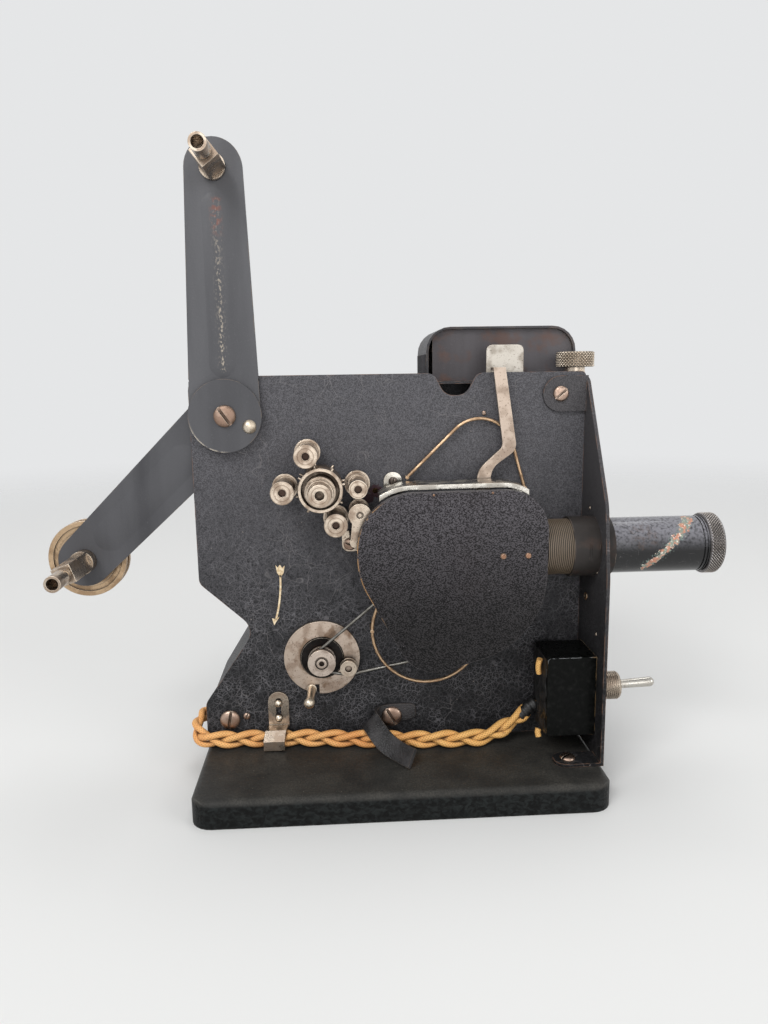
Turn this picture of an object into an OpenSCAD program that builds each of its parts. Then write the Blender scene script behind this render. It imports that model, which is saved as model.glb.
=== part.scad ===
// Compact 16 mm film projector with folding reel arms
// Lengths are in millimetres. +X runs along the lens, +Y to the back and +Z up, and the origin
// is the middle of the base's underside. Most pieces are drawn in the main plate's own frame:
// x along the plate, then height above the base, then distance out from the plate's front.

/* [Base and plates] */
// Width of the base, along the lens
base_w = 174; // [172:1:182]
// Depth of the base, front to back
base_d = 120; // [118:1:140]
// Height of the base board
base_h = 12; // [8:1:20]
// Distance from the base's front edge to the main plate
plate_setback = 51; // [48:1:56]
// Height of the main plate above the base
plate_h = 167.5; // [166:0.5:171]
// Thickness of the main plate
plate_t = 2; // [1.6:0.1:2.4]
// Thickness of the front plate that carries the lens
front_t = 1.5; // [1:0.1:2]
// How far the front plate stands out from the main plate
front_reach = 35.5; // [33:0.5:40]

/* [Reel arms] */
// Pivot to upper spindle
upper_arm_len = 100; // [90:1:120]
// Pivot to lower spindle
lower_arm_len = 91; // [86:1:96]
// Lean of the lower arm from straight up
lower_arm_lean = 133.8; // [128:0.2:138]
// Thickness of both arms
arm_t = 2.2; // [1.6:0.1:2.6]
// Across the flats of the reel spindles
spindle_square = 8; // [7:0.1:8.6]
// Diameter of the spindles' round tips
spindle_tip_d = 6.8; // [6:0.1:7.6]
// How far the spindles stand out from the main plate
spindle_reach = 38; // [34:1:46]
// Diameter of the take-up pulley
takeup_d = 34.4; // [30:0.2:40]

/* [Film path] */
// Distance from the main plate to the middle of the film
film_out = 15.5; // [15:0.1:17]
// Diameter of the feed sprocket
sprocket_d = 18.6; // [17:0.1:19]
// Teeth in each row of the sprocket
sprocket_teeth = 8; // [6:1:10]
// Sprocket axis to each film roller's axis
roller_circle = 15.5; // [15.4:0.1:16.4]
// Diameter of the rollers' rear flanges
roller_d = 11.2; // [9.6:0.2:11.4]

/* [Drive] */
// Size of the gear teeth, as pitch diameter for each tooth
gear_module = 1; // [1:0.005:1.02]
// Diameter of the belt's middle on the main pulley
main_pulley_d = 41.4; // [36:0.2:44]
// Diameter of the belt's middle on the motor pulley
motor_pulley_d = 9.2; // [8:0.2:9.6]
// Thickness of the belt
belt_t = 1.4; // [1:0.1:1.8]
// Radius of the shutter
shutter_r = 48; // [46:0.5:49]
// Diameter of the motor
motor_d = 52; // [44:1:54]

/* [Gate and lens] */
// Height of the lens axis above the base
lens_h = 92.8; // [91:0.2:95]
// Diameter of the lens barrel
barrel_d = 24; // [21:0.2:25]
// Length of the lens barrel with its front ring
barrel_len = 75.7; // [66:0.1:90]
// Distance from the main plate to the front of the gate cover
cover_out = 28; // [27:0.5:32]

/* [Lamp house] */
// Width of the lamp house
lamp_w = 68.5; // [62:0.5:69]
// Height of the lamp house's top above the base
lamp_top = 188; // [182:1:200]
// Depth of the lamp house
lamp_d = 39; // [34:1:40]
// Diameter of the thumb knob
thumb_knob_d = 17; // [14:0.2:17.2]

/* [Switch and lead] */
// Width of the switch box
switch_w = 21.4; // [18:0.2:22]
// Height of the switch box
switch_h = 35.6; // [30:0.2:38]
// Diameter of the plaited lead
lead_d = 6.6; // [4.8:0.2:7]

/* [Hidden] */
$fn = 64;

// Clearances: a turning fit, a seated fit within one body, and the room between moving pieces
run_gap = 0.06;
seat_gap = 0.02;
free_gap = 0.4;

// Places on the main plate, as x and height
plate_left = -base_w / 2;
plate_right = base_w / 2 - front_t;
pivot = [plate_left + 15.6, plate_h - 16.7];
sprocket_at = [-31.3, 120.5];
main_at = [18.6, 62.9];
motor_at = [-33.3, 40.8];
beam_at = [plate_right - 39.5, lens_h];

// Teeth of the gears between the main shaft and the sprocket, and a tooth's height over the pitch line
pinion_teeth = 12;
wheel_teeth = 72;
second_pinion_teeth = 30;
sprocket_wheel_teeth = 40;
tooth_tip = 0.8;

// Sheet and shaft sizes that several pieces share
casing_t = 1.2;
casing_top = plate_h - 3.5;
casing_depth = 58;
gear_clear = 2.2;
casing_left = sprocket_at[0] - (sprocket_wheel_teeth / 2 + tooth_tip) * gear_module - gear_clear - casing_t;
casing_right = base_w / 2 - 0.2;
chamber_back = 17.2;
lamp_house_foot = 60;
shaft_r = 3;
motor_shaft_r = 2.5;
stud_r = 1.5;
black = [0.17, 0.17, 0.18];
nickel = [0.66, 0.61, 0.55];
brass = [0.72, 0.56, 0.38];
steel = [0.55, 0.55, 0.55];

// Helpers: frames, simple solids and outlines

// The main plate's frame: x, then height above the base, then distance out from the plate
module plate_frame() {
    translate([0, plate_setback - base_d / 2, base_h]) rotate([90, 0, 0]) children();
}

// The same place with +Z up: x, then distance behind the plate's front, then height
module floor_frame() {
    translate([0, plate_setback - base_d / 2, base_h]) children();
}

// The floor frame as seen from inside the plate frame
module floor_frame_in_plate() {
    rotate([-90, 0, 0]) children();
}

// The lens axis, with +Z along it and zero at the main plate's right edge
module lens_frame() {
    plate_frame() translate([plate_right, lens_h, film_out]) rotate([0, 90, 0]) children();
}

// A flat outline made solid between two distances out from the plate
module slab(from, to) {
    translate([0, 0, from]) linear_extrude(to - from) children();
}

// A round bar square to the plate
module bar(at, from, to, r) {
    translate([at[0], at[1], from]) cylinder(r = r, h = to - from);
}

// A sheet square to the lens axis, drawn as distance out and height, whose front lies at x
module cross_sheet(x, thickness) {
    translate([x, 0, 0]) rotate([0, -90, 0]) linear_extrude(thickness) children();
}

// A grooved wheel square to the plate, bored for its shaft
module grooved_wheel(at, from, to, flange_r, groove_r, groove_w, bore_r) {
    middle = (from + to) / 2;
    difference() {
        bar(at, from, to, flange_r);
        difference() {
            bar(at, middle - groove_w / 2, middle + groove_w / 2, flange_r + 1);
            bar(at, from, to, groove_r);
        }
        bar(at, from - 1, to + 1, bore_r);
    }
}

// A ring-shaped cut of some depth in the front of a wheel
module face_ring(at, front, inner_r, outer_r, depth) {
    difference() {
        bar(at, front - depth, front + 1, outer_r);
        bar(at, front - depth - 1, front + 2, inner_r);
    }
}

// A domed rivet head, along +Z from its seat
module domed_head(r, h) {
    ball = (r * r + h * h) / (2 * h);
    rotate_extrude() intersection() {
        translate([0, h - ball]) circle(r = ball);
        square([r, h]);
    }
}

// A slotted screw head with its shank, along +Z from its seat
module slotted_screw(head_r, head_h, shank_r, shank_len, slot_angle) {
    difference() {
        cylinder(r = head_r, h = head_h);
        rotate(slot_angle) translate([-head_r - 1, -head_r * 0.13, head_h * 0.5])
            cube([2 * head_r + 2, head_r * 0.26, head_h]);
    }
    translate([0, 0, -shank_len]) cylinder(r = shank_r, h = shank_len);
}

// Points along an arc
function arc(at, r, from, to, steps = 12) =
    [for (i = [0 : steps]) let (a = from + (to - from) * i / steps) at + r * [cos(a), sin(a)]];

// Smallest signed turn from one angle to another
function turn(from, to) = let (t = (to - from) % 360) t > 180 ? t - 360 : t < -180 ? t + 360 : t;

// Corners given as x, y and radius, each rounded to its own radius
function rounded(corners, steps = 6) = [
    for (i = [0 : len(corners) - 1])
        let (
            n = len(corners),
            before = corners[(i + n - 1) % n],
            after = corners[(i + 1) % n],
            p = [corners[i][0], corners[i][1]],
            r = corners[i][2],
            u = ([before[0], before[1]] - p) / norm([before[0], before[1]] - p),
            v = ([after[0], after[1]] - p) / norm([after[0], after[1]] - p),
            half = acos(u * v) / 2
        )
        each r == 0 ? [p] :
            let (
                at = p + (u + v) / norm(u + v) * r / sin(half),
                first = p + u * r / tan(half) - at,
                last = p + v * r / tan(half) - at,
                a = atan2(first[1], first[0])
            )
            arc(at, r, a, a + turn(a, atan2(last[1], last[0])), steps)
];

// Direction of the outer tangent's foot when a band runs from circle a to circle b
function tangent_angle(a, b) =
    let (d = [b[0] - a[0], b[1] - a[1]]) atan2(d[1], d[0]) - acos((a[2] - b[2]) / norm(d));

// Outline of a band drawn round circles, each x, y and radius, taken anticlockwise
function band(circles, grow = 0, steps = 18) = [
    for (i = [0 : len(circles) - 1])
        let (
            n = len(circles),
            c = circles[i],
            from = tangent_angle(circles[(i + n - 1) % n], c),
            sweep = (tangent_angle(c, circles[(i + 1) % n]) - from + 720) % 360
        )
        each arc([c[0], c[1]], c[2] + grow, from, from + sweep, steps)
];

// Outline of a long hole or rib with round ends
function capsule(a, b, r) = band([[a[0], a[1], r], [b[0], b[1], r]], 0, 10);

// Spur gear outline with involute flanks and short teeth, one tooth centred on angle zero
pressure_angle = 25;
tooth_root = 1.05;
backlash = 0.24;
function involute(a) = tan(a) * 180 / PI - a;
function flank(r, base_r) = r > base_r ? involute(acos(base_r / r)) : 0;
function gear_outline(teeth, m) =
    let (
        pitch_r = teeth * m / 2,
        base_r = pitch_r * cos(pressure_angle),
        root_r = pitch_r - tooth_root * m,
        tip_r = pitch_r + tooth_tip * m,
        start_r = max(root_r + 0.05, base_r),
        half = 90 / teeth - backlash / 4 / pitch_r * 180 / PI + involute(pressure_angle),
        radii = [root_r, for (i = [0 : 3]) start_r + (tip_r - start_r) * i / 3]
    )
    [for (t = [0 : teeth - 1], side = [-1, 1], i = [0 : len(radii) - 1])
        let (
            r = radii[side < 0 ? i : len(radii) - 1 - i],
            a = t * 360 / teeth + side * (half - flank(r, base_r))
        )
        r * [cos(a), sin(a)]];

// Main structure

// Wooden base board with rounded corners and rounded upper edges
base_corner = 9;
base_edge = 3;
foot_tab_w = 11;
foot_tab_out = front_reach - foot_tab_w / 2;
foot_tab_left = plate_right - 19;
foot_screw = [foot_tab_left + 6.3, foot_tab_out];
foot_screw_depth = 7;
module base() {
    side = [[-base_d / 2, 0, 0], [base_d / 2, 0, 0], [base_d / 2, base_h, base_edge],
        [-base_d / 2, base_h, base_edge]];
    front = [[-base_w / 2, 0, 0], [base_w / 2, 0, 0], [base_w / 2, base_h, base_edge],
        [-base_w / 2, base_h, base_edge]];
    plan = [for (sx = [-1, 1], sy = [-sx, sx]) [sx * base_w / 2, sy * base_d / 2, base_corner]];
    color([0.15, 0.16, 0.16]) difference() {
        intersection() {
            linear_extrude(base_h) polygon(rounded(plan));
            translate([-base_w / 2, 0, 0]) rotate([90, 0, 90]) linear_extrude(base_w)
                polygon(rounded(side));
            translate([0, base_d / 2, 0]) rotate([90, 0, 0]) linear_extrude(base_d)
                polygon(rounded(front));
        }
        floor_frame() translate([foot_screw[0], -foot_screw[1], -foot_screw_depth])
            cylinder(r = 1.7 + seat_gap, h = foot_screw_depth + 1);
    }
}

// Slotted screws of the main plate: x, height, seat, head radius and slot angle
sheet_t = 1.2;
strap_t = 1.6;
tab_at = [plate_right - 11.4, plate_h - 9.6];
tab_r = 7.8;
lug_at = [0.1, 120.9];
bracket_screw_at = [-19.4, 93.2];
strap_screw_at = [-1.9, 11.2];
strap_head_r = 4.7;
plate_screw_list = [
    [plate_left + 10.6, 11.6, 0, 4.6, 20],
    [plate_left + 18.3, 13.1, 0, 1.6, 70],
    [strap_screw_at[0], strap_screw_at[1], strap_t + 0.2, strap_head_r, 140],
    [bracket_screw_at[0], bracket_screw_at[1], sheet_t, 2.8, -25],
    [lug_at[0], lug_at[1], sheet_t, 1.9, 80],
    [tab_at[0], tab_at[1], front_t, 3.4, 10],
    [40.5, 150, 0, 1, 0]
];
function shank_radius(screw) = screw[3] * 0.5;
module plate_screws() {
    color(nickel) {
        plate_frame() for (s = plate_screw_list) translate([s[0], s[1], s[2]])
            slotted_screw(s[3], 0.5 + s[3] * 0.3, shank_radius(s), s[2] + plate_t, s[4]);
        floor_frame() translate([foot_screw[0], -foot_screw[1], front_t])
            slotted_screw(3.4, 1.5, 1.7, front_t + foot_screw_depth - 0.5, 35);
    }
}

// Main plate, with the notch in its top edge and the deep notch in its left edge
notch_x = 28;
notch_depth = 9.6;
beam_r = 8;
oil_hole_at = [-7.7, 116.6];
function plate_outline() = rounded([
    [plate_left, 0, 1],
    [plate_right, 0, 1],
    [plate_right, plate_h, 2],
    [notch_x + 9.5, plate_h, 5],
    [notch_x + 4.6, plate_h - notch_depth, 6],
    [notch_x - 4.6, plate_h - notch_depth, 6],
    [notch_x - 9.5, plate_h, 5],
    [plate_left, plate_h, 6],
    [plate_left, 76.6, 5],
    [plate_left + 24, 54.6, 8],
    [plate_left, 19.6, 4]
]);
module main_plate() {
    color(black) plate_frame() difference() {
        slab(-plate_t, 0) polygon(plate_outline());
        bar(pivot, -plate_t - 1, 1, pivot_r + seat_gap);
        for (s = plate_screw_list) bar(s, -plate_t - 1, 1, shank_radius(s) + seat_gap);
        for (at = [main_at, sprocket_at]) bar(at, -plate_t - 1, 1, shaft_r + 0.3);
        bar(motor_at, -plate_t - 1, 1, motor_shaft_r + 0.3);
        bar(beam_at, -plate_t - 1, 1, beam_r);
        bar(oil_hole_at, -plate_t - 1, 1, 1.3);
        for (s = stud_list) bar(s, -plate_t - 1, 1, s[2] + seat_gap);
    }
}

// Front plate: one bent sheet that carries the lens and the switch
module front_plate() {
    edge = [[-plate_t, 0, 0], [front_reach, 0, 0], [front_reach, lens_h - 10, 20],
        [front_reach - 4.5, lens_h + 20, 20], [2, plate_h - 4, 4], [-plate_t, plate_h - 2, 0]];
    color(black) difference() {
        union() {
            plate_frame() cross_sheet(plate_right + front_t, front_t) polygon(rounded(edge));
            plate_frame() slab(0, front_t) polygon(concat(
                arc(tab_at, tab_r, 90, 270),
                [for (side = [-1, 1]) [plate_right + front_t / 2, tab_at[1] + side * tab_r]]
            ));
            floor_frame() linear_extrude(front_t) polygon(rounded([
                [foot_tab_left, -foot_tab_out - foot_tab_w / 2, 5],
                [plate_right + front_t / 2, -foot_tab_out - foot_tab_w / 2, 0],
                [plate_right + front_t / 2, -foot_tab_out + foot_tab_w / 2, 0],
                [foot_tab_left, -foot_tab_out + foot_tab_w / 2, 5]
            ]));
        }
        lens_frame() translate([0, 0, -1]) cylinder(r = sleeve_r + seat_gap, h = front_t + 2);
        switch_frame() translate([0, 0, -1]) cylinder(r = bushing_r + seat_gap, h = front_t + 2);
        plate_frame() bar(tab_at, -1, front_t + 1, 1.7 + seat_gap);
        floor_frame() translate([foot_screw[0], -foot_screw[1], -1])
            cylinder(r = 1.7 + seat_gap, h = front_t + 2);
    }
}

// Outline of the casing's front chamber, which closes the gears in behind the plate
function chamber_outline(inset) = rounded([
    [plate_left + 1 + inset, inset, 0],
    [casing_right - inset, inset, 0],
    [casing_right - inset, casing_top - inset, 3],
    [casing_left + inset, casing_top - inset, 3],
    [casing_left + inset, 62 + inset * 0.4, 3],
    [plate_left + 23.3 + inset * 0.8, 53.4 - inset * 0.2, 3],
    [plate_left + 1 + inset, 17.6 - inset * 0.3, 3]
]);

// Outline of the casing's back box, which leaves out the corner where the lamp house stands
function back_box_outline(inset) = rounded([
    [plate_left + 1 + inset, inset, 0],
    [casing_right - inset, inset, 0],
    [casing_right - inset, lamp_house_foot - inset, 0],
    [lamp_left - 1 - inset, lamp_house_foot - inset, 0],
    [lamp_left - 1 - inset, casing_top - inset, 0],
    [casing_left + inset, casing_top - inset, 3],
    [casing_left + inset, 62 + inset * 0.4, 3],
    [plate_left + 23.3 + inset * 0.8, 53.4 - inset * 0.2, 3],
    [plate_left + 1 + inset, 17.6 - inset * 0.3, 3]
]);

// Rear casing: a thin shell, open towards the plate, with cooling slots in its back
grommet_at = [8.6, -14.5];
inlet_at = [60, 22];
grommet_bore = lead_d / 2 + 0.3;
grommet_r = grommet_bore + 2;
module rear_casing() {
    color(black) plate_frame() difference() {
        union() {
            slab(-chamber_back, -plate_t) polygon(chamber_outline(0));
            slab(-casing_depth, -chamber_back + 0.5) polygon(back_box_outline(0));
        }
        slab(-chamber_back + casing_t, -plate_t + 1) polygon(chamber_outline(casing_t));
        slab(-casing_depth + casing_t, -chamber_back + casing_t + 0.5)
            polygon(back_box_outline(casing_t));
        bar(beam_at, -chamber_back - 1, -chamber_back + casing_t + 1, beam_r + 2);
        for (i = [-2 : 2])
            slab(-casing_depth - 1, -casing_depth + casing_t + 1)
                polygon(capsule(motor_at + [7 * i, -14], motor_at + [7 * i, 14], 1.4));
        translate([plate_left, grommet_at[0], grommet_at[1]]) rotate([0, 90, 0])
            cylinder(r = grommet_r - 1 + seat_gap, h = 6);
        bar(inlet_at, -casing_depth - 1, -casing_depth + casing_t + 1, grommet_r - 1 + seat_gap);
        floor_frame_in_plate() translate([thumb_knob_x, thumb_knob_back, casing_top - casing_t - 1])
            cylinder(r = thumb_stem_r + run_gap, h = casing_t + 2);
    }
}

// Rubber grommets: the plaited lead's, and the mains inlet's in the back
module cord_grommets() {
    color([0.1, 0.1, 0.1]) plate_frame() {
        translate([plate_left + 1, grommet_at[0], grommet_at[1]]) rotate([0, 90, 0]) grommet();
        translate([inlet_at[0], inlet_at[1], -casing_depth]) grommet();
    }
}

module grommet() {
    difference() {
        union() {
            translate([0, 0, -1.2]) cylinder(r = grommet_r, h = 1.2);
            cylinder(r = grommet_r - 1, h = casing_t);
        }
        translate([0, 0, -2]) cylinder(r = grommet_bore, h = casing_t + 3);
    }
}

// Bushes on the plate for the main, sprocket and motor shafts; the last carries the tension ring
ring_bush_r = 9.6;
ring_bush_h = 2.7;
shaft_bush_h = 2.5;
module shaft_bushes() {
    color(brass) plate_frame() {
        for (at = [main_at, sprocket_at]) difference() {
            bar(at, 0, shaft_bush_h, shaft_r + 2.6);
            bar(at, -1, shaft_bush_h + 1, shaft_r + run_gap);
        }
        difference() {
            bar(motor_at, 0, ring_bush_h, ring_bush_r);
            bar(motor_at, -1, ring_bush_h + 1, motor_shaft_r + run_gap);
        }
    }
}

// Reel arms

pivot_r = 4;
arm_out = free_gap;
disc_r = 15.6;
disc_t = 1.5;
upper_spindle_at = pivot + [0, upper_arm_len];
lower_spindle_at = pivot + lower_arm_len * [-sin(lower_arm_lean), cos(lower_arm_lean)];
journal_r = 4;
rib_h = 0.8;
lower_arm_out = -plate_t - free_gap - rib_h - arm_t;

// Shouldered pivot that holds both arms on the plate, with its slotted head in front
module arm_pivot() {
    back = lower_arm_out - free_gap;
    front = arm_out + arm_t + disc_t + free_gap;
    color(nickel) plate_frame() translate([pivot[0], pivot[1], front]) {
        slotted_screw(4.7, 1.8, pivot_r, front - back, -55);
        translate([0, 0, back - front - 2.4]) cylinder(r = 6, h = 2.4);
    }
}

// A pressed rib: what stands out of a sheet's face from a round bar with ball ends
module pressed_rib(a, b, half_w, face) {
    r = (half_w ^ 2 + rib_h ^ 2) / (2 * rib_h);
    span = norm(b - a);
    intersection() {
        translate([a[0], a[1], face + rib_h - r]) rotate([0, 90, atan2(b[1] - a[1], b[0] - a[0])]) {
            cylinder(r = r, h = span, $fn = 200);
            for (end = [0, span]) translate([0, 0, end]) sphere(r = r, $fn = 200);
        }
        slab(face - 0.5, face + rib_h + 1) polygon(capsule(a, b, half_w + 1));
    }
}

// Upper arm: a tapered strip with a pressed rib
module upper_arm() {
    rib = [pivot + [0, disc_r + 6.2], upper_spindle_at - [0, 15]];
    color(black) plate_frame() difference() {
        union() {
            slab(arm_out, arm_out + arm_t) polygon(band([
                [pivot[0], pivot[1], disc_r - 0.4],
                [upper_spindle_at[0], upper_spindle_at[1], 11.8]
            ]));
            pressed_rib(rib[0], rib[1], 5.6, arm_out + arm_t);
        }
        bar(pivot, 0, 10, pivot_r + run_gap);
        bar(upper_spindle_at, 0, 10, journal_r + run_gap);
        for (side = [-1, 1]) bar(pivot + [side * 15.4, 15], 0, 10, 0.9);
    }
}

// Disc on the upper arm's foot and the brass stud on it
stud_offset = [10.2, -4.7];
module arm_disc() {
    front = arm_out + arm_t;
    color(black) plate_frame() difference() {
        bar(pivot, front, front + disc_t, disc_r);
        bar(pivot, front - 1, front + disc_t + 1, pivot_r + run_gap);
    }
}

module arm_stud() {
    front = arm_out + arm_t + disc_t;
    color(brass) plate_frame() translate([pivot[0] + stud_offset[0], pivot[1] + stud_offset[1], front])
        intersection() {
            cylinder(r = 3, h = 2);
            translate([0, 0, -1.6]) sphere(r = 3.4);
        }
}

// A reel spindle along +Z, zero at the arm's front: journal, collar, square and hollow tip
spindle_tip_len = 10;
spindle_neck_len = 3;
spindle_bore = 2.4;
module spindle(front, back_len, collar_len) {
    neck = front - spindle_tip_len - spindle_neck_len;
    difference() {
        union() {
            translate([0, 0, -back_len]) cylinder(r = journal_r, h = back_len + free_gap);
            translate([0, 0, free_gap]) cylinder(r = spindle_square * 0.66, h = collar_len);
            translate([-spindle_square / 2, -spindle_square / 2, free_gap + collar_len])
                cube([spindle_square, spindle_square, neck - collar_len - free_gap]);
            translate([0, 0, neck]) cylinder(r = spindle_tip_d * 0.42, h = spindle_neck_len);
            translate([0, 0, front - spindle_tip_len]) cylinder(r = spindle_tip_d / 2, h = spindle_tip_len);
        }
        translate([0, 0, front - spindle_tip_len - 2]) cylinder(r = spindle_bore, h = spindle_tip_len + 3);
    }
}

module upper_spindle() {
    seat = arm_out + arm_t;
    color(nickel) plate_frame() translate([upper_spindle_at[0], upper_spindle_at[1], seat]) {
        rotate(38) spindle(spindle_reach - seat, arm_t + free_gap, 2.4);
        translate([0, 0, -arm_t - free_gap - 2]) cylinder(r = 5.5, h = 2);
    }
}

// Lower arm, behind the plate, with the same pivot
module lower_arm() {
    front = lower_arm_out + arm_t;
    along = (lower_spindle_at - pivot) / lower_arm_len;
    rib = [pivot + along * 28, lower_spindle_at - along * 16];
    color(black) plate_frame() difference() {
        union() {
            slab(lower_arm_out, front) polygon(band([
                [pivot[0], pivot[1], 14],
                [lower_spindle_at[0], lower_spindle_at[1], 11.6]
            ]));
            pressed_rib(rib[0], rib[1], 7, front);
        }
        bar(pivot, -20, 5, pivot_r + run_gap);
        bar(lower_spindle_at, -20, 5, journal_r + run_gap);
    }
}

takeup_w = 7;
takeup_front = lower_arm_out - 1.6;
module lower_spindle() {
    seat = lower_arm_out + arm_t;
    back_len = seat - takeup_front + takeup_w;
    color(nickel) plate_frame() translate([lower_spindle_at[0], lower_spindle_at[1], seat])
        rotate(20) spindle(spindle_reach - 1 - seat, back_len, 5);
}

// Grooved take-up pulley on the lower spindle, behind the arm
module takeup_pulley() {
    color(brass) plate_frame() difference() {
        grooved_wheel(lower_spindle_at, takeup_front - takeup_w, takeup_front, takeup_d / 2,
            takeup_d / 2 - 3, 3.4, journal_r + seat_gap);
        face_ring(lower_spindle_at, takeup_front, takeup_d / 2 - 4.6, takeup_d / 2 - 2.2, 0.9);
    }
}

// Film rollers and sprocket

sprocket_r = sprocket_d / 2;
tooth_row = 6.15;
sprocket_half = 7.5;
knob_r = 6.4;
module sprocket() {
    color(nickel) plate_frame() translate([sprocket_at[0], sprocket_at[1], film_out]) {
        difference() {
            translate([0, 0, -sprocket_half]) cylinder(r = sprocket_r, h = 2 * sprocket_half);
            translate([0, 0, sprocket_half - 5]) cylinder(r = sprocket_r - 1.3, h = 6);
            translate([0, 0, -sprocket_half - 1]) cylinder(r = shaft_r + seat_gap, h = 2 * sprocket_half);
        }
        for (row = [-tooth_row, tooth_row], i = [0 : sprocket_teeth - 1])
            rotate((i + 0.3) * 360 / sprocket_teeth) translate([sprocket_r - 0.8, 0, row])
                rotate([0, 90, 0]) cylinder(r1 = 0.7, r2 = 0.45, h = 2);
    }
}

// Stepped hub in front of the sprocket, which also turns the film by hand
module sprocket_knob() {
    color(nickel) plate_frame() translate([sprocket_at[0], sprocket_at[1], film_out + sprocket_half - 5])
        difference() {
            union() {
                cylinder(r = knob_r, h = 9.5);
                translate([0, 0, 9.5]) cylinder(r = knob_r - 1, h = 4);
                translate([0, 0, 13.5]) cylinder(r = knob_r - 1.9, h = 5);
            }
            translate([0, 0, 14.5]) cylinder(r = 1.9, h = 5);
        }
}

roller_angles = [111, 181, 2, -67];
roller_places = [for (a = roller_angles) sprocket_at + roller_circle * [cos(a), sin(a)]];
roller_back = film_out - 11;
roller_front = film_out + 10;
flange_w = 2;

// A film roller: wide rear flange, core and front flange
roller_core_r = 4.2;
roller_front_r = [4.9, 4.9, 3.9, 4.9];
module roller(index) {
    at = roller_places[index];
    front_r = roller_front_r[index];
    seat_w = flange_w + 2.5;
    color(nickel) plate_frame() difference() {
        union() {
            bar(at, roller_back, roller_back + flange_w, roller_d / 2);
            bar(at, roller_back, roller_front, front_r - 0.8);
            bar(at, roller_back, roller_back + seat_w, roller_core_r);
            bar(at, roller_front - seat_w, roller_front - flange_w, min(roller_core_r, front_r));
            bar(at, roller_front - flange_w, roller_front, front_r);
        }
        bar(at, roller_back - 1, roller_front + 1, stud_r + run_gap);
    }
}

// Guide roller under its own flat bracket
guide_at = [-15.2, 109.9];
guide_r = 4.4;
bracket_out = cover_out - 6.4;
bracket_foot = [-17.7, 98];
module guide_roller() {
    color(nickel) plate_frame() difference() {
        union() {
            bar(guide_at, roller_back, bracket_out - free_gap, guide_r - 1);
            bar(guide_at, roller_back, roller_back + flange_w, guide_r);
            bar(guide_at, bracket_out - free_gap - flange_w, bracket_out - free_gap, guide_r);
        }
        bar(guide_at, roller_back - 1, bracket_out, stud_r + run_gap);
    }
}

// Bracket: a foot on the plate, a leg, and the flat arm whose pin carries the guide roller
module guide_bracket() {
    color(nickel) plate_frame() {
        difference() {
            union() {
                slab(bracket_out, bracket_out + sheet_t) {
                    translate(guide_at) circle(r = guide_r + 0.4);
                    polygon(band([[guide_at[0], guide_at[1], 3], [bracket_foot[0], bracket_foot[1], 1.8]]));
                }
                slab(0, sheet_t) polygon(rounded([
                    [bracket_foot[0] - 5.2, bracket_screw_at[1] - 3.4, 3],
                    [bracket_foot[0] + 2, bracket_screw_at[1] - 3.4, 1],
                    [bracket_foot[0] + 2, bracket_foot[1] + 1.2, 0],
                    [bracket_foot[0] - 5.2, bracket_foot[1] + 1.2, 3]
                ]));
                slab(0, bracket_out + sheet_t) translate(bracket_foot - [2, 0]) square([4, sheet_t]);
            }
            bar(bracket_screw_at, -1, sheet_t + 0.01, 1.4 + seat_gap);
            face_ring(guide_at, bracket_out + sheet_t, 0.8, 1.5, 0.7);
        }
        bar(guide_at, roller_back - 2, bracket_out + 0.5, stud_r);
        bar(guide_at, bracket_out + sheet_t, bracket_out + sheet_t + 0.4, 0.8);
    }
}

// Gears behind the plate

gear_front = plate_t + 2;
second_stage_back = gear_front + 3.5;
first_stage_front = second_stage_back + 1;
gear_back = first_stage_front + 3;
first_reach = (pinion_teeth + wheel_teeth) * gear_module / 2;
second_reach = (second_pinion_teeth + sprocket_wheel_teeth) * gear_module / 2;

gear_stud_r = 2.5;

// The intermediate axis lies at the two gear distances from the main and sprocket axes
shaft_span = norm(sprocket_at - main_at);
span_part = (first_reach ^ 2 - second_reach ^ 2 + shaft_span ^ 2) / (2 * shaft_span);
span_line = (sprocket_at - main_at) / shaft_span;
intermediate_at = main_at + span_part * span_line
    + sqrt(first_reach ^ 2 - span_part ^ 2) * [span_line[1], -span_line[0]];
function heading(from, to) = atan2(to[1] - from[1], to[0] - from[0]);

// A gear placed on its axis, turned so that a tooth or a gap faces its partner
module gear(at, teeth, partner, gap_faces, from, to) {
    translate([at[0], at[1], 0]) rotate(heading(at, partner) + (gap_faces ? 180 / teeth : 0))
        slab(-to, -from) polygon(gear_outline(teeth, gear_module));
}

module sprocket_gear() {
    color(steel) plate_frame() {
        gear(sprocket_at, sprocket_wheel_teeth, intermediate_at, true, gear_front, second_stage_back);
        bar(sprocket_at, -second_stage_back, film_out + sprocket_half - 5.5, shaft_r);
    }
}

module intermediate_gear() {
    color(brass) plate_frame() difference() {
        union() {
            gear(intermediate_at, second_pinion_teeth, sprocket_at, false, gear_front, second_stage_back);
            gear(intermediate_at, wheel_teeth, main_at, true, first_stage_front, gear_back);
            bar(intermediate_at, -first_stage_front - 0.5, -second_stage_back + 0.5, 12);
        }
        bar(intermediate_at, -gear_back - 1, 0, gear_stud_r + run_gap);
        for (a = [0 : 72 : 288])
            bar(intermediate_at + 25 * [cos(a), sin(a)], -gear_back - 1, -first_stage_front + 1, 6);
    }
}

// Main shaft with its pinion
shutter_front = gear_back + 0.9;
module main_shaft() {
    color(steel) plate_frame() {
        bar(main_at, -shutter_front - 2.6, pulley_front + 0.8, shaft_r);
        gear(main_at, pinion_teeth, intermediate_at, false, first_stage_front, gear_back);
    }
}

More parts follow.
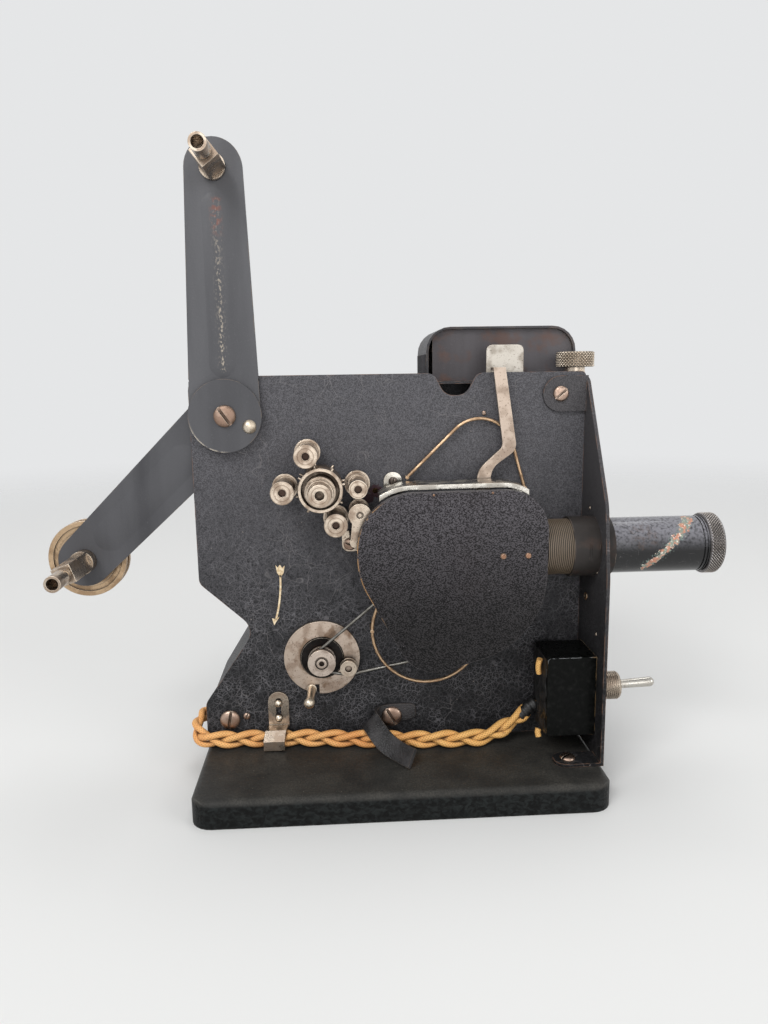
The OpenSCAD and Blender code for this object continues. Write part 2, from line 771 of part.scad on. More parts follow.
// Three-bladed shutter
module shutter() {
    blade = 62;
    hub_r = 7;
    outline = [for (i = [0 : 2]) each concat(
        arc([0, 0], shutter_r, i * 120, i * 120 + blade, 16),
        arc([0, 0], hub_r + 6, i * 120 + blade, i * 120 + 120, 8)
    )];
    color(black) plate_frame() translate([main_at[0], main_at[1], 0]) difference() {
        union() {
            slab(-shutter_front - 1, -shutter_front - 0.2) polygon(outline);
            slab(-shutter_front - 2.4, -shutter_front) circle(r = hub_r);
        }
        slab(-shutter_front - 3, 0) circle(r = shaft_r + seat_gap);
    }
}

// Belt drive in front of the plate

belt_out = 6.5;
pulley_front = belt_out + 3;
pulley_back = belt_out - 3;
belt_gap = 0.3;
idler_at = motor_at + [11.9, -3.4];
idler_r = 3.8;
idler_belt_r = 3.4;
belt_circles = [
    [motor_at[0], motor_at[1], motor_pulley_d / 2],
    [idler_at[0], idler_at[1], idler_belt_r],
    [main_at[0], main_at[1], main_pulley_d / 2]
];
module main_pulley() {
    color(black) plate_frame() grooved_wheel(main_at, pulley_back, pulley_front, main_pulley_d / 2 + 1.5,
        main_pulley_d / 2 - belt_t / 2 - belt_gap, belt_t + 1.2, shaft_r + seat_gap);
}

module drive_belt() {
    color([0.12, 0.12, 0.12]) plate_frame() slab(belt_out - belt_t / 2, belt_out + belt_t / 2) difference() {
        polygon(band(belt_circles, belt_t / 2));
        polygon(band(belt_circles, -belt_t / 2));
    }
}

// Motor in the casing: a housing round the rotor, whose shaft carries the small pulley
motor_front = chamber_back + 1;
rotor_r = motor_d / 2 - 10;
rotor_back = casing_depth - casing_t - 5;
rotor_front = motor_front + 9;
motor_bearing = 3;
module motor() {
    color(black) plate_frame() difference() {
        union() {
            bar(motor_at, -casing_depth + casing_t, -motor_front - 4, motor_d / 2);
            bar(motor_at, -motor_front - 4.5, -motor_front, motor_d / 2 - 6);
            bar(motor_at, -motor_front - 1, -plate_t - 2, motor_shaft_r + 2);
        }
        bar(motor_at, -rotor_back - motor_bearing - free_gap, 0, motor_shaft_r + run_gap);
        bar(motor_at, -rotor_back - free_gap, -rotor_front + free_gap, rotor_r + free_gap);
    }
}

module motor_pulley() {
    color(steel) plate_frame() difference() {
        union() {
            grooved_wheel(motor_at, pulley_back + 0.3, pulley_front, motor_pulley_d / 2 + 1.6,
                motor_pulley_d / 2 - belt_t / 2 - belt_gap, belt_t + 1.2, motor_shaft_r - 1);
            bar(motor_at, -rotor_back - motor_bearing, pulley_front + 0.5, motor_shaft_r);
            bar(motor_at, -rotor_back, -rotor_front, rotor_r);
        }
        bar(motor_at, pulley_front - 1.6, pulley_front + 1, 1.2);
        face_ring(motor_at, pulley_front, motor_shaft_r - 0.3, motor_shaft_r + 0.5, 0.8);
    }
}

// Tension ring round the motor bush, with its idler pin
ring_r = 17.2;
ring_out = 0.4;
ring_t = 1.7;
module tension_ring() {
    color(nickel) plate_frame() {
        difference() {
            bar(motor_at, ring_out, ring_out + ring_t, ring_r);
            bar(motor_at, 0, 5, ring_bush_r + 0.3);
            translate([motor_at[0] - 3.4, motor_at[1] - ring_r - 1, 0]) cube([1.8, 5.4, 5]);
        }
        bar(idler_at, ring_out + ring_t - 0.2, belt_out + 0.9, stud_r);
    }
}

// Ball handle that turns the ring
handle_root = [-5, -14.5];
handle_len = 11;
handle_tilt = [11.4, -4.2, 0];
ball_r = 2.4;
module tension_handle() {
    root = motor_at + handle_root;
    color(nickel) plate_frame() {
        bar(root, ring_out + ring_t, ring_out + ring_t + 1.2, 2.2);
        translate([root[0], root[1], ring_out + ring_t + 0.5]) rotate(handle_tilt) {
            cylinder(r1 = 1.9, r2 = 1.7, h = handle_len);
            translate([0, 0, handle_len]) sphere(r = ball_r);
        }
    }
}

module tension_idler() {
    color(nickel) plate_frame() grooved_wheel(idler_at, belt_out - 2.1, belt_out + 2.1, idler_r,
        idler_belt_r - belt_t / 2 - belt_gap, belt_t + 1, stud_r + run_gap);
}

// Gate, cover and guards

gate_x = beam_at[0] + 11;
gate_t = 1.2;
gate_gap = 1.6;
gate_reach = cover_out - 4.4;
module film_gate() {
    window = [10.5, 7.6];
    color(nickel) plate_frame() for (x = [gate_x, gate_x + gate_t + gate_gap])
        cross_sheet(x + gate_t, gate_t) difference() {
            polygon(rounded([[0, lens_h - 16, 0], [gate_reach, lens_h - 16, 2],
                [gate_reach, lens_h + 16, 2], [0, lens_h + 16, 0]]));
            translate([film_out - window[0] / 2, lens_h - window[1] / 2]) square(window);
        }
}

// Slanted mirror block on a leg; it turns the beam from the lamp towards the lens
mirror_half = 7;
module beam_mirror() {
    leg = beam_at[0] - mirror_half - 1.4;
    back = film_out + mirror_half;
    color([0.75, 0.77, 0.78]) floor_frame() translate([0, 0, lens_h - 8]) linear_extrude(16) polygon([
        [leg, 0], [leg, -back], [beam_at[0] + mirror_half, -back],
        [beam_at[0] - mirror_half, -film_out + mirror_half], [beam_at[0] - mirror_half, 0]
    ]);
}

// Pear-shaped outline of the gate cover, as arcs taken anticlockwise from its top right
function cover_outline(grow) = concat(
    arc([7, 95.6], 23.8 + grow, 90, 180, 14),
    arc([17.2, 93], 34 + grow, 180, 209, 8),
    arc([15.5, 58], 15.8 + grow, 209, 285, 12),
    arc([24.5, 84], 38.3 + grow, -75, 2, 14),
    arc([45.2, 101.9], 17.8 + grow, 2, 90, 14)
);
cover_t = 1.2;
cover_rim = 2.8;
module gate_cover() {
    color(black) plate_frame() {
        slab(cover_out - cover_t, cover_out) polygon(cover_outline(0));
        slab(cover_out - cover_t - cover_rim, cover_out - cover_t + 0.1) difference() {
            polygon(cover_outline(0));
            polygon(cover_outline(-1));
        }
    }
}

cover_rivet_places = [44, 54.5];
module cover_rivets() {
    color(brass) plate_frame() for (x = cover_rivet_places)
        translate([x, lens_h - 0.8, cover_out]) cylinder(r1 = 1.4, r2 = 1, h = 0.5);
}

// Posts that carry the cover
post_places = [[-7.5, 93], [12, 110.5], [50, 66]];
module cover_posts() {
    color(steel) plate_frame() for (at = post_places) bar(at, 0, cover_out - cover_t, 2.4);
}

// Bright strip above the cover's top edge, with two legs and a screwed lug on the plate
strip_back = 7.4;
strip_front = 21.5;
strip_off = 0.3;
strip_t = 2;
strip_leg_t = 1.4;
strip_ends = [-7, 56];
module guard_strip() {
    outer = strip_off + strip_t;
    inner = strip_off - strip_leg_t;
    legs = [[lug_at[0] - 3.4, lug_at[0] + 3.4], [strip_ends[1] - 6, strip_ends[1]]];
    color(nickel) plate_frame() difference() {
        union() {
            strip_piece(strip_back, strip_front, strip_ends, outer, strip_off);
            for (leg = legs) {
                strip_piece(0, strip_back + strip_leg_t, leg, strip_off, inner);
                strip_piece(strip_back, strip_back + strip_leg_t, leg, outer, inner);
            }
            slab(0, sheet_t) polygon(concat(
                arc(lug_at, 4.1, 0, 180),
                [[lug_at[0] - 4.1, lug_at[1] - 5.2], [lug_at[0] + 4.1, lug_at[1] - 5.2]]
            ));
        }
        bar(lug_at, -1, sheet_t + 0.01, 0.95 + seat_gap);
    }
}

// A stretch of the cover's top edge between two places along x, from one offset to another
module strip_piece(back, front, ends, outer, inner) {
    slab(back, front) intersection() {
        difference() {
            polygon(cover_outline(outer));
            polygon(cover_outline(inner));
        }
        translate([ends[0], 110]) square([ends[1] - ends[0], 20]);
    }
}

// Film loop guards bent from wire: an upper one with two straight tails and a round lower one
wire_r = 0.75;
upper_wire_out = 2.2;
upper_loop = [38.3, 132.6];
upper_loop_r = 15.2;
upper_feet = [[6.3, 122.6], [58.6, 116.7]];
lower_wire_out = belt_out + 2.6;
lower_loop = [14, 55];
lower_loop_r = 24.5;
lower_feet = [for (a = [180, 338]) lower_loop + lower_loop_r * [cos(a), sin(a)]];
module loop_wires() {
    upper = concat([upper_feet[0]], arc(upper_loop, upper_loop_r, 135, 22), [upper_feet[1]]);
    color(brass) plate_frame() {
        wire(upper, upper_wire_out, upper_feet);
        wire(arc(lower_loop, lower_loop_r, 140, 338, 22), lower_wire_out, lower_feet);
    }
}

// A wire along a flat path, standing off the plate on round feet
module wire(path, out, feet) {
    tube([for (p = path) [p[0], p[1], out]], wire_r, [0, 0, 1], 10);
    for (at = feet) bar(at, 0, out + wire_r + 0.1, wire_r + 0.1);
}

// Flat cranked lever that opens the gate; its hook lies over the plate's top edge
lever_pivot = [39.4, 112];
lever_out = upper_wire_out + wire_r + 1;
lever_t = 1.4;
hook_gap = 0.7;
module gate_lever() {
    top = plate_h + hook_gap;
    color(nickel) plate_frame() difference() {
        union() {
            slab(lever_out, lever_out + lever_t) polygon(rounded([
                [42.4, 112, 0], [43, 126.2, 8], [54.2, 134.2, 5], [48.8, top + lever_t, 0],
                [43.5, top + lever_t, 0], [48.1, 135.6, 4], [36.8, 125.4, 11], [36.4, 112, 0]
            ]));
            bar(lever_pivot, lever_out, lever_out + lever_t, 3.8);
            slab(-plate_t, lever_out + lever_t) translate([43.7, top]) square([4.9, lever_t]);
        }
        bar(lever_pivot, 0, 10, stud_r + run_gap);
    }
}

// Lens, along +X

sleeve_r = barrel_d / 2 + run_gap + 0.9;
sleeve_back = 11.3;
sleeve_front = 6.2;
barrel_back = 22.1;
bore_r = barrel_d / 2 - 2;
ring_len = 6.6;
module lens_sleeve() {
    color(black) lens_frame() difference() {
        translate([0, 0, -sleeve_back]) cylinder(r = sleeve_r, h = sleeve_back + sleeve_front);
        translate([0, 0, -sleeve_back - 1])
            cylinder(r = barrel_d / 2 + run_gap, h = sleeve_back + sleeve_front + 2);
        for (z = [-4.4, 0]) translate([-sleeve_r - 1.5, -4, z - 0.6]) cube([2, 8, 1.2]);
    }
}

// Barrel: a tube with a fine thread behind and grooves near the front
thread_len = 10.4;
thread_turns = 13;
module lens_barrel() {
    front = barrel_len - barrel_back - ring_len;
    color([0.1, 0.1, 0.11]) lens_frame() difference() {
        translate([0, 0, -barrel_back]) cylinder(r = barrel_d / 2, h = barrel_back + front);
        translate([0, 0, -barrel_back - 1]) cylinder(r = bore_r, h = barrel_back + front + 2);
        for (i = [0 : thread_turns - 1])
            translate([0, 0, -barrel_back + (i + 0.5) * thread_len / thread_turns])
                groove(barrel_d / 2, 0.4, 0.5);
        for (i = [0 : 1]) translate([0, 0, front - 2.6 + i * 1.4]) groove(barrel_d / 2, 0.6, 0.6);
    }
}

// A ring-shaped cut round a bar along +Z
module groove(r, width, depth) {
    difference() {
        cylinder(r = r + 1, h = width);
        translate([0, 0, -1]) cylinder(r = r - depth, h = width + 2);
    }
}

module lens_front_ring() {
    z = barrel_len - barrel_back - ring_len;
    color(nickel) lens_frame() translate([0, 0, z]) difference() {
        cylinder(r = barrel_d / 2 + 1.3, h = ring_len);
        translate([0, 0, -1]) cylinder(r = bore_r - 1, h = ring_len + 2);
        translate([0, 0, ring_len - 2]) cylinder(r1 = bore_r - 1, r2 = bore_r, h = 2.01);
    }
}

// Front and rear elements of the lens
module lens_glass() {
    front = barrel_len - barrel_back - ring_len;
    color([0.8, 0.86, 0.88]) lens_frame() {
        translate([0, 0, front - 5.5]) element();
        translate([0, 0, -barrel_back + 1.5]) element();
    }
}

module element() {
    intersection() {
        cylinder(r = bore_r - seat_gap, h = 5);
        translate([0, 0, -26]) sphere(r = 30.4, $fn = 200);
    }
}

// Switch, lead and its holders

switch_at = [28.3, 15.5];
switch_back = 4;
switch_front = 27;
bushing_r = 5.7;
bushing_len = 13.5;
nut_r = 6.2;
toggle_root = 9.5;

// The switch axis, with +Z along +X and zero at the front plate's inner face
module switch_frame() {
    plate_frame() translate([plate_right, switch_at[0], switch_at[1]]) rotate([0, 90, 0]) children();
}

module switch_body() {
    right = plate_right;
    color([0.08, 0.08, 0.09]) difference() {
        union() {
            plate_frame() slab(switch_back, switch_front) polygon(rounded([
                [right - switch_w, switch_at[0] - switch_h / 2, 1.5], [right, switch_at[0] - switch_h / 2, 0],
                [right, switch_at[0] + switch_h / 2, 0], [right - switch_w, switch_at[0] + switch_h / 2, 1.5]
            ]));
            switch_frame() translate([0, 0, -1]) cylinder(r = bushing_r, h = bushing_len + 1);
        }
        switch_frame() translate([0, 0, toggle_root - 4.6]) cylinder(r = 4.2, h = 20);
    }
}

// Collar nut that clamps the switch to the front plate
module switch_nut() {
    color(nickel) switch_frame() translate([0, 0, front_t]) difference() {
        union() {
            cylinder(r = nut_r + 1, h = 1.4);
            cylinder(r = nut_r, h = bushing_len - front_t - 0.2);
        }
        translate([0, 0, -1]) cylinder(r = bushing_r + seat_gap, h = bushing_len + 2);
    }
}

// Bat lever on its cross pin, tilted up at rest
toggle_tilt = 3;
module switch_lever() {
    color(nickel) switch_frame() translate([0, 0, toggle_root]) rotate([-toggle_tilt, 0, 0]) {
        sphere(r = 3.4);
        rotate([0, 90, 0]) cylinder(r = 1, h = 7.6, center = true);
        cylinder(r1 = 1.8, r2 = 2.2, h = 18.6);
        translate([0, 0, 18.6]) sphere(r = 2.2);
    }
}

// Plaited lead from the switch, along the plate's foot and round its edge into the casing
lead_low = lead_d / 2 + 0.4;
clip_x = -53.9;
lead_route = [
    [plate_right - switch_w - 0.7, 17.6, 8.4], [plate_right - switch_w - 2.7, 17.4, 8.5],
    [plate_right - 26, 15, 9.2], [plate_right - 30, 12, 10],
    [plate_right - 38, 7, 11.6], [plate_right - 48, lead_low, 13], [24, lead_low, 13.4],
    [8, lead_low, 12.6], [-8, lead_low, 11], [-24, lead_low, 9], [-40, lead_low, 7],
    [clip_x, lead_low, 5.8], [-68, lead_low, 5.4], [plate_left + 6, lead_low + 0.2, 5.2],
    [plate_left - 1, lead_low + 0.8, 3.8], [plate_left - 4.2, lead_low + 2, 0.4],
    [plate_left - 5, lead_low + 3.4, -4], [plate_left - 5, grommet_at[0] - 0.4, grommet_at[1] + 5],
    [plate_left - 3.4, grommet_at[0], grommet_at[1] + 0.8], [plate_left - 1, grommet_at[0], grommet_at[1]],
    [plate_left + 1, grommet_at[0], grommet_at[1]]
];

// Smooth points between the route's points, on a cubic that keeps each one's direction
function smooth(p, i, t) =
    let (
        a = p[max(i - 1, 0)],
        b = p[i],
        c = p[i + 1],
        d = p[min(i + 2, len(p) - 1)]
    )
    0.5 * (2 * b + (c - a) * t + (2 * a - 5 * b + 4 * c - d) * t ^ 2 + (3 * b - a - 3 * c + d) * t ^ 3);
function smooth_route(p, steps) =
    [for (i = [0 : len(p) - 2], s = [0 : steps - 1]) smooth(p, i, s / steps), p[len(p) - 1]];

// A tube of equal rings along a route that never runs along the given direction
module tube(route, r, across, sides = 12) {
    n = len(route);
    rings = [for (i = [0 : n - 1])
        let (
            along = route[min(i + 1, n - 1)] - route[max(i - 1, 0)],
            side = cross(across, along) / norm(cross(across, along)),
            up = cross(along, side) / norm(along)
        )
        for (k = [0 : sides - 1]) route[i] + r * (cos(k * 360 / sides) * side + sin(k * 360 / sides) * up)];
    walls = [for (i = [0 : n - 2], k = [0 : sides - 1], upper = [0, 1])
        let (a = i * sides + k, b = i * sides + (k + 1) % sides)
        upper == 0 ? [a, a + sides, b] : [b, a + sides, b + sides]];
    ends = [[for (k = [0 : sides - 1]) k], [for (k = [sides - 1 : -1 : 0]) (n - 1) * sides + k]];
    polyhedron(points = rings, faces = concat(walls, ends));
}

module plaited_lead() {
    color([0.82, 0.61, 0.35]) plate_frame() tube(smooth_route(lead_route, 3), lead_d / 2, [0, 1, 0]);
}

// Slotted clip that holds the lead: it slides on two studs and steps out over the lead
clip_stud_h = [12.3, 19.4];
clip_stud_r = 1;
clip_head_r = 1.75;
clip_head_h = 1.2;
clip_w = 9.4;
clip_t = 1.2;
clip_travel = 1.2;
clip_skew = 1.8;
clip_shelf = 2 * lead_low + 0.3;
clip_reach = lead_d + 4.6;
clip_fold = 3.7;
// The clip's lower half as distance out and height: a shelf, a slanted bend and a lip
clip_top = clip_shelf + clip_t;
clip_turn = clip_t * tan(22.5);
clip_section = [
    [0.3, clip_shelf], [clip_reach - clip_fold - clip_turn, clip_shelf],
    [clip_reach - clip_t, clip_top - clip_fold - clip_turn], [clip_reach - clip_t, 0.8],
    [clip_reach, 0.8], [clip_reach, clip_top - clip_fold],
    [clip_reach - clip_fold, clip_top], [0.3, clip_top]
];
module cord_clip() {
    left = clip_x - clip_w / 2;
    color(nickel) plate_frame() difference() {
        union() {
            slab(0.3, 0.3 + clip_t) polygon(rounded([
                [left, clip_shelf, 0], [left + clip_w, clip_shelf, 0],
                [left + clip_w, 24.7, 4.6], [left, 24.7, 4.6]
            ]));
            intersection() {
                cross_sheet(left + clip_w, clip_w + clip_skew) polygon(clip_section);
                rotate([-90, 0, 0]) linear_extrude(2 * clip_shelf) polygon([
                    [left, -0.3], [left + clip_w, -0.3],
                    [left + clip_w - clip_skew, -clip_reach], [left - clip_skew, -clip_reach]
                ]);
            }
        }
        slab(-1, 2) polygon(capsule(
            [clip_x, clip_stud_h[0] - clip_travel], [clip_x, clip_stud_h[1] + clip_travel], clip_stud_r + 0.15
        ));
    }
}

// Leather strap: a lobe screwed to the plate, a fold over the lead and a tail that stands on edge
strap_w = 9.6;
strap_fold = 2 * lead_low + 0.6;
strap_path = [[-15.6, -16.6], [-13.4, -18.6], [-5.4, -24.6], [4.4, -32]];
module leather_strap() {
    color([0.1, 0.09, 0.09]) {
        floor_frame() linear_extrude(strap_w) polygon(ribbon_outline(strap_path, strap_t));
        plate_frame() difference() {
            slab(0.2, 0.2 + strap_t) polygon(rounded([
                [-15, strap_fold, 1], [2, strap_fold, 1], [9, 10.6, 3], [8.4, 16.4, 3],
                [-4, 16.6, 4], [-15, strap_fold + 2.5, 1]
            ]));
            bar(strap_screw_at, -1, 5, strap_head_r / 2 + seat_gap);
        }
        plate_frame() slab(0.2, 18) translate([-15, strap_fold])
            square([strap_screw_at[0] - strap_head_r - free_gap + 15, strap_t]);
    }
}

// Outline of a strip of even thickness along a flat path
function ribbon_outline(path, thickness) =
    let (
        n = len(path),
        sides = [for (i = [0 : n - 1])
            let (along = path[min(i + 1, n - 1)] - path[max(i - 1, 0)])
            [-along[1], along[0]] / norm(along) * thickness / 2]
    )
    concat([for (i = [0 : n - 1]) path[i] + sides[i]], [for (i = [n - 1 : -1 : 0]) path[i] - sides[i]]);

// Studs riveted in the plate: x, height, radius, back and front ends
stud_list = concat(
    [for (at = roller_places) [at[0], at[1], stud_r, -plate_t, roller_front - 1.6]],
    [for (h = clip_stud_h) [clip_x, h, clip_stud_r, -plate_t, 2.2]],
    [[lever_pivot[0], lever_pivot[1], stud_r, -plate_t, lever_out + lever_t + 1]],
    [[intermediate_at[0], intermediate_at[1], gear_stud_r, -gear_back - 0.8, 0]]
);
module fixed_studs() {
    color(steel) plate_frame() {
        for (s = stud_list) bar(s, s[3], s[4], s[2]);
        for (h = clip_stud_h) translate([clip_x, h, 2.2]) domed_head(clip_head_r, clip_head_h);
    }
}

// Lamp house

lamp_left = plate_right + 0.2 - lamp_w;
lamp_right = lamp_left + lamp_w;
lamp_front = chamber_back;
lamp_back = lamp_front + lamp_d;
lamp_t = 1;
function lamp_outline(inset) = rounded([
    [lamp_left + inset, lamp_house_foot + inset, 2],
    [lamp_right - inset, lamp_house_foot + inset, 2],
    [lamp_right - inset, lamp_top - inset, 11 - inset],
    [lamp_left + inset, lamp_top - inset, 11 - inset]
]);
module lamp_house() {
    ribs = floor((lamp_d - 5) / 5);
    color(black) plate_frame() {
        slab(-lamp_back, -lamp_front) difference() {
            polygon(lamp_outline(0));
            polygon(lamp_outline(lamp_t));
        }
        for (i = [0 : ribs]) translate([lamp_left, casing_top - 40, -lamp_front - 3 - i * 5])
            rotate([-90, 0, 0]) cylinder(r = 0.8, h = lamp_top - 12 - casing_top + 40);
    }
}

// Inset panels that close the lamp house, with a cooling gap along their left edges
panel_inset = 2.2;
module lamp_house_panels() {
    color([0.2, 0.17, 0.16]) plate_frame() {
        lamp_panel(-lamp_front - panel_inset - lamp_t, true);
        lamp_panel(-lamp_back + panel_inset, false);
    }
}

module lamp_panel(back, beam_hole) {
    difference() {
        slab(back, back + lamp_t) intersection() {
            polygon(lamp_outline(lamp_t));
            translate([lamp_left + lamp_t + 2, lamp_house_foot]) square([lamp_w, lamp_top - lamp_house_foot]);
        }
        if (beam_hole) bar(beam_at, back - 1, back + lamp_t + 1, beam_r + 2);
    }
}

// Spring clip on the casing's top, with rounded upper corners
lamp_clip_w = 16.6;
lamp_clip_h = 15.5;
lamp_clip_x = beam_at[0] + 5.3;
module lamp_clip() {
    left = lamp_clip_x - lamp_clip_w / 2;
    top = casing_top + lamp_clip_h;
    color(nickel) plate_frame() {
        slab(-9.4, -8.2) polygon(rounded([
            [left, casing_top, 0], [left + lamp_clip_w, casing_top, 0],
            [left + lamp_clip_w, top, 2.6], [left, top, 2.6]
        ]));
        slab(-13, -8.2) translate([left, casing_top]) square([lamp_clip_w, sheet_t]);
    }
}

// Lamp on its socket, and the condenser against the front panel
lamp_back_place = lamp_front + 20;
socket_top = 74;
bulb_r = 12;
module lamp() {
    color([0.85, 0.88, 0.88]) floor_frame() translate([beam_at[0], lamp_back_place, 0]) {
        translate([0, 0, lens_h]) sphere(r = bulb_r);
        translate([0, 0, socket_top]) cylinder(r = 6.5, h = lens_h - socket_top - 4);
    }
}

module lamp_socket() {
    color(brass) floor_frame() translate([beam_at[0], lamp_back_place, lamp_house_foot + lamp_t])
        cylinder(r = 9, h = socket_top - lamp_house_foot - lamp_t);
}

module condenser() {
    color([0.8, 0.86, 0.88]) plate_frame()
        translate([beam_at[0], beam_at[1], -lamp_front - panel_inset - lamp_t]) rotate([180, 0, 0])
            intersection() {
                cylinder(r = beam_r + 4, h = 4);
                translate([0, 0, -28]) sphere(r = 31.5, $fn = 200);
            }
}

// Knurled thumb knob in the casing's top
thumb_knob_x = plate_right - 2.6;
thumb_knob_back = 8.2;
thumb_knob_h = 6.7;
thumb_stem_r = 2;
module thumb_knob() {
    color(brass) floor_frame() translate([thumb_knob_x, thumb_knob_back, casing_top]) {
        translate([0, 0, 5.3]) cylinder(r = thumb_knob_d / 2, h = thumb_knob_h);
        translate([0, 0, 0.3]) cylinder(r = 4.4, h = 5);
        translate([0, 0, -6]) cylinder(r = thumb_stem_r, h = 6.5);
    }
}

base();
main_plate();
front_plate();
rear_casing();
plate_screws();
shaft_bushes();
fixed_studs();
cord_grommets();
arm_pivot();
upper_arm();
arm_disc();
arm_stud();
upper_spindle();
lower_arm();
lower_spindle();
takeup_pulley();
sprocket();
sprocket_knob();
sprocket_gear();
intermediate_gear();
main_shaft();
main_pulley();
shutter();
roller(0);  // roller_a
roller(1);  // roller_b
roller(2);  // roller_c
roller(3);  // roller_d
guide_bracket();
guide_roller();
film_gate();
beam_mirror();
gate_cover();
cover_rivets();
cover_posts();
guard_strip();
loop_wires();
gate_lever();
lens_sleeve();
lens_barrel();
lens_front_ring();
lens_glass();
switch_body();
switch_nut();
switch_lever();
plaited_lead();
cord_clip();
leather_strap();
motor();
motor_pulley();
tension_ring();
tension_handle();
tension_idler();
drive_belt();
lamp_house();
lamp_house_panels();
lamp_clip();
lamp();
lamp_socket();
condenser();
thumb_knob();
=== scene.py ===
"""Looks of a compact 16 mm film projector: worn paint, aged metals, a plaited lead and a leather strap."""
import math

import bmesh
import bpy
from mathutils import Matrix, Vector


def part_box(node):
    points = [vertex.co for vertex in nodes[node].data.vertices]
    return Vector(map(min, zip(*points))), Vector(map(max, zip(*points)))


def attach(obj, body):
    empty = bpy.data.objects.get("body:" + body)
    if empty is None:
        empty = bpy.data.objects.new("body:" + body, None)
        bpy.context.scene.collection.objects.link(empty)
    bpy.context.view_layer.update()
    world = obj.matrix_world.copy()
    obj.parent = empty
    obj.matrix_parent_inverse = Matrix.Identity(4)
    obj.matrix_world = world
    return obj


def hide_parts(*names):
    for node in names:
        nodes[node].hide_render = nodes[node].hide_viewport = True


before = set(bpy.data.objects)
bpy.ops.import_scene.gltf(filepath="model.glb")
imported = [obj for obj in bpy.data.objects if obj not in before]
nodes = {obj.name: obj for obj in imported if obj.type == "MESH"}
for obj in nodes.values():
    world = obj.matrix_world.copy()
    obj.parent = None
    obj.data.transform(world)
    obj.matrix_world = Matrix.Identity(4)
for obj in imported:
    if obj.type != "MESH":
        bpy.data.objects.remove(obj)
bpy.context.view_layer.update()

# Measures from the frame; places are in millimetres: x along the plate, out from its front, up from the base
MM = 0.001
PLATE_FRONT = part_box("main_plate")[0].y
BASE_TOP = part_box("base")[1].z
PLATE_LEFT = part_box("main_plate")[0].x / MM
PLATE_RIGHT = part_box("main_plate")[1].x / MM
COVER_OUT = (PLATE_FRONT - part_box("gate_cover")[0].y) / MM
SWITCH_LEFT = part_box("switch_body")[0].x / MM
SWITCH_FRONT = (PLATE_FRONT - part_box("switch_body")[0].y) / MM
SWITCH_TOP = (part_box("switch_body")[1].z - BASE_TOP) / MM
SWITCH_FOOT = (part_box("switch_body")[0].z - BASE_TOP) / MM

# Turns that lay a piece's own Z axis out from the plate or along the lens
OUT = Matrix.Rotation(math.radians(90), 4, "X")
ALONG_LENS = Matrix.Rotation(math.radians(90), 4, "Y")


def spot(x, out, up):
    """A point in the row frame, in metres."""
    return Vector((x * MM, PLATE_FRONT - out * MM, BASE_TOP + up * MM))


def middle(node):
    low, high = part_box(node)
    return (low + high) / 2


def solids(node):
    """Boxes of a node's separate solids, from left to right."""
    shape = bmesh.new()
    shape.from_mesh(nodes[node].data)
    shape.transform(nodes[node].matrix_world)
    bmesh.ops.remove_doubles(shape, verts=shape.verts, dist=1e-6)
    waiting = set(shape.verts)
    found = []
    while waiting:
        group = [waiting.pop()]
        for vert in group:
            joined = {edge.other_vert(vert) for edge in vert.link_edges} & waiting
            waiting -= joined
            group.extend(joined)
        low = Vector([min(vert.co[i] for vert in group) for i in range(3)])
        high = Vector([max(vert.co[i] for vert in group) for i in range(3)])
        found.append((low, high))
    shape.free()
    return sorted(found, key=lambda box: tuple(box[0]))


def rgb(red, green, blue):
    """A screen colour from 0 to 255 as linear light."""
    def linear(value):
        value /= 255
        return value / 12.92 if value <= 0.04045 else ((value + 0.055) / 1.055) ** 2.4
    return (linear(red), linear(green), linear(blue), 1.0)


# Mesh helpers: a shape is a list of vertices and a list of faces

def skin(rings, loop=False, ends=True):
    """Faces between rings of equal length; the last ring joins the first, or both ends are closed."""
    count = len(rings[0])
    verts = [point for ring in rings for point in ring]
    faces = []
    for i in range(len(rings) if loop else len(rings) - 1):
        first = i * count
        second = (i + 1) % len(rings) * count
        for k in range(count):
            after = (k + 1) % count
            faces.append((first + k, first + after, second + after, second + k))
    if ends and not loop:
        faces.append(tuple(range(count - 1, -1, -1)))
        faces.append(tuple((len(rings) - 1) * count + k for k in range(count)))
    return verts, faces


def join(*shapes):
    verts = []
    faces = []
    for more_verts, more_faces in shapes:
        first = len(verts)
        verts.extend(more_verts)
        faces.extend(tuple(first + i for i in face) for face in more_faces)
    return verts, faces


def ring(radius, along, place, steps=64):
    """A circle square to the place's Z axis; radius is a number or a function of the angle's share."""
    points = []
    for k in range(steps):
        share = k / steps
        r = radius(share) if callable(radius) else radius
        angle = 2 * math.pi * share
        points.append(place @ (Vector((r * math.cos(angle), r * math.sin(angle), along)) * MM))
    return points


def turned_rings(profile, place, steps):
    """Rings from radius and distance along the axis, in millimetres."""
    return [ring(r, along, place, steps) for r, along in profile]


def lathe(profile, place, loop=False, steps=64):
    return skin(turned_rings(profile, place, steps), loop)


KNURL_DEPTH = 0.75
KNURL_STEPS = 6


def knurl_rings(radius, low, high, count, place):
    """Rings of a wall covered with diamond-shaped points, each a few steps across."""
    rows = max(2, round((high - low) / (2 * math.pi * radius / count))) * KNURL_STEPS
    def wave(value):
        return abs(2 * (value - math.floor(value)) - 1)
    found = []
    for row in range(rows + 1):
        lift = row / KNURL_STEPS
        def wall(share, lift=lift):
            turn = share * count
            return radius - KNURL_DEPTH * (1 - min(wave(turn + lift), wave(turn - lift)))
        found.append(ring(wall, low + (high - low) * row / rows, place, count * KNURL_STEPS))
    return found


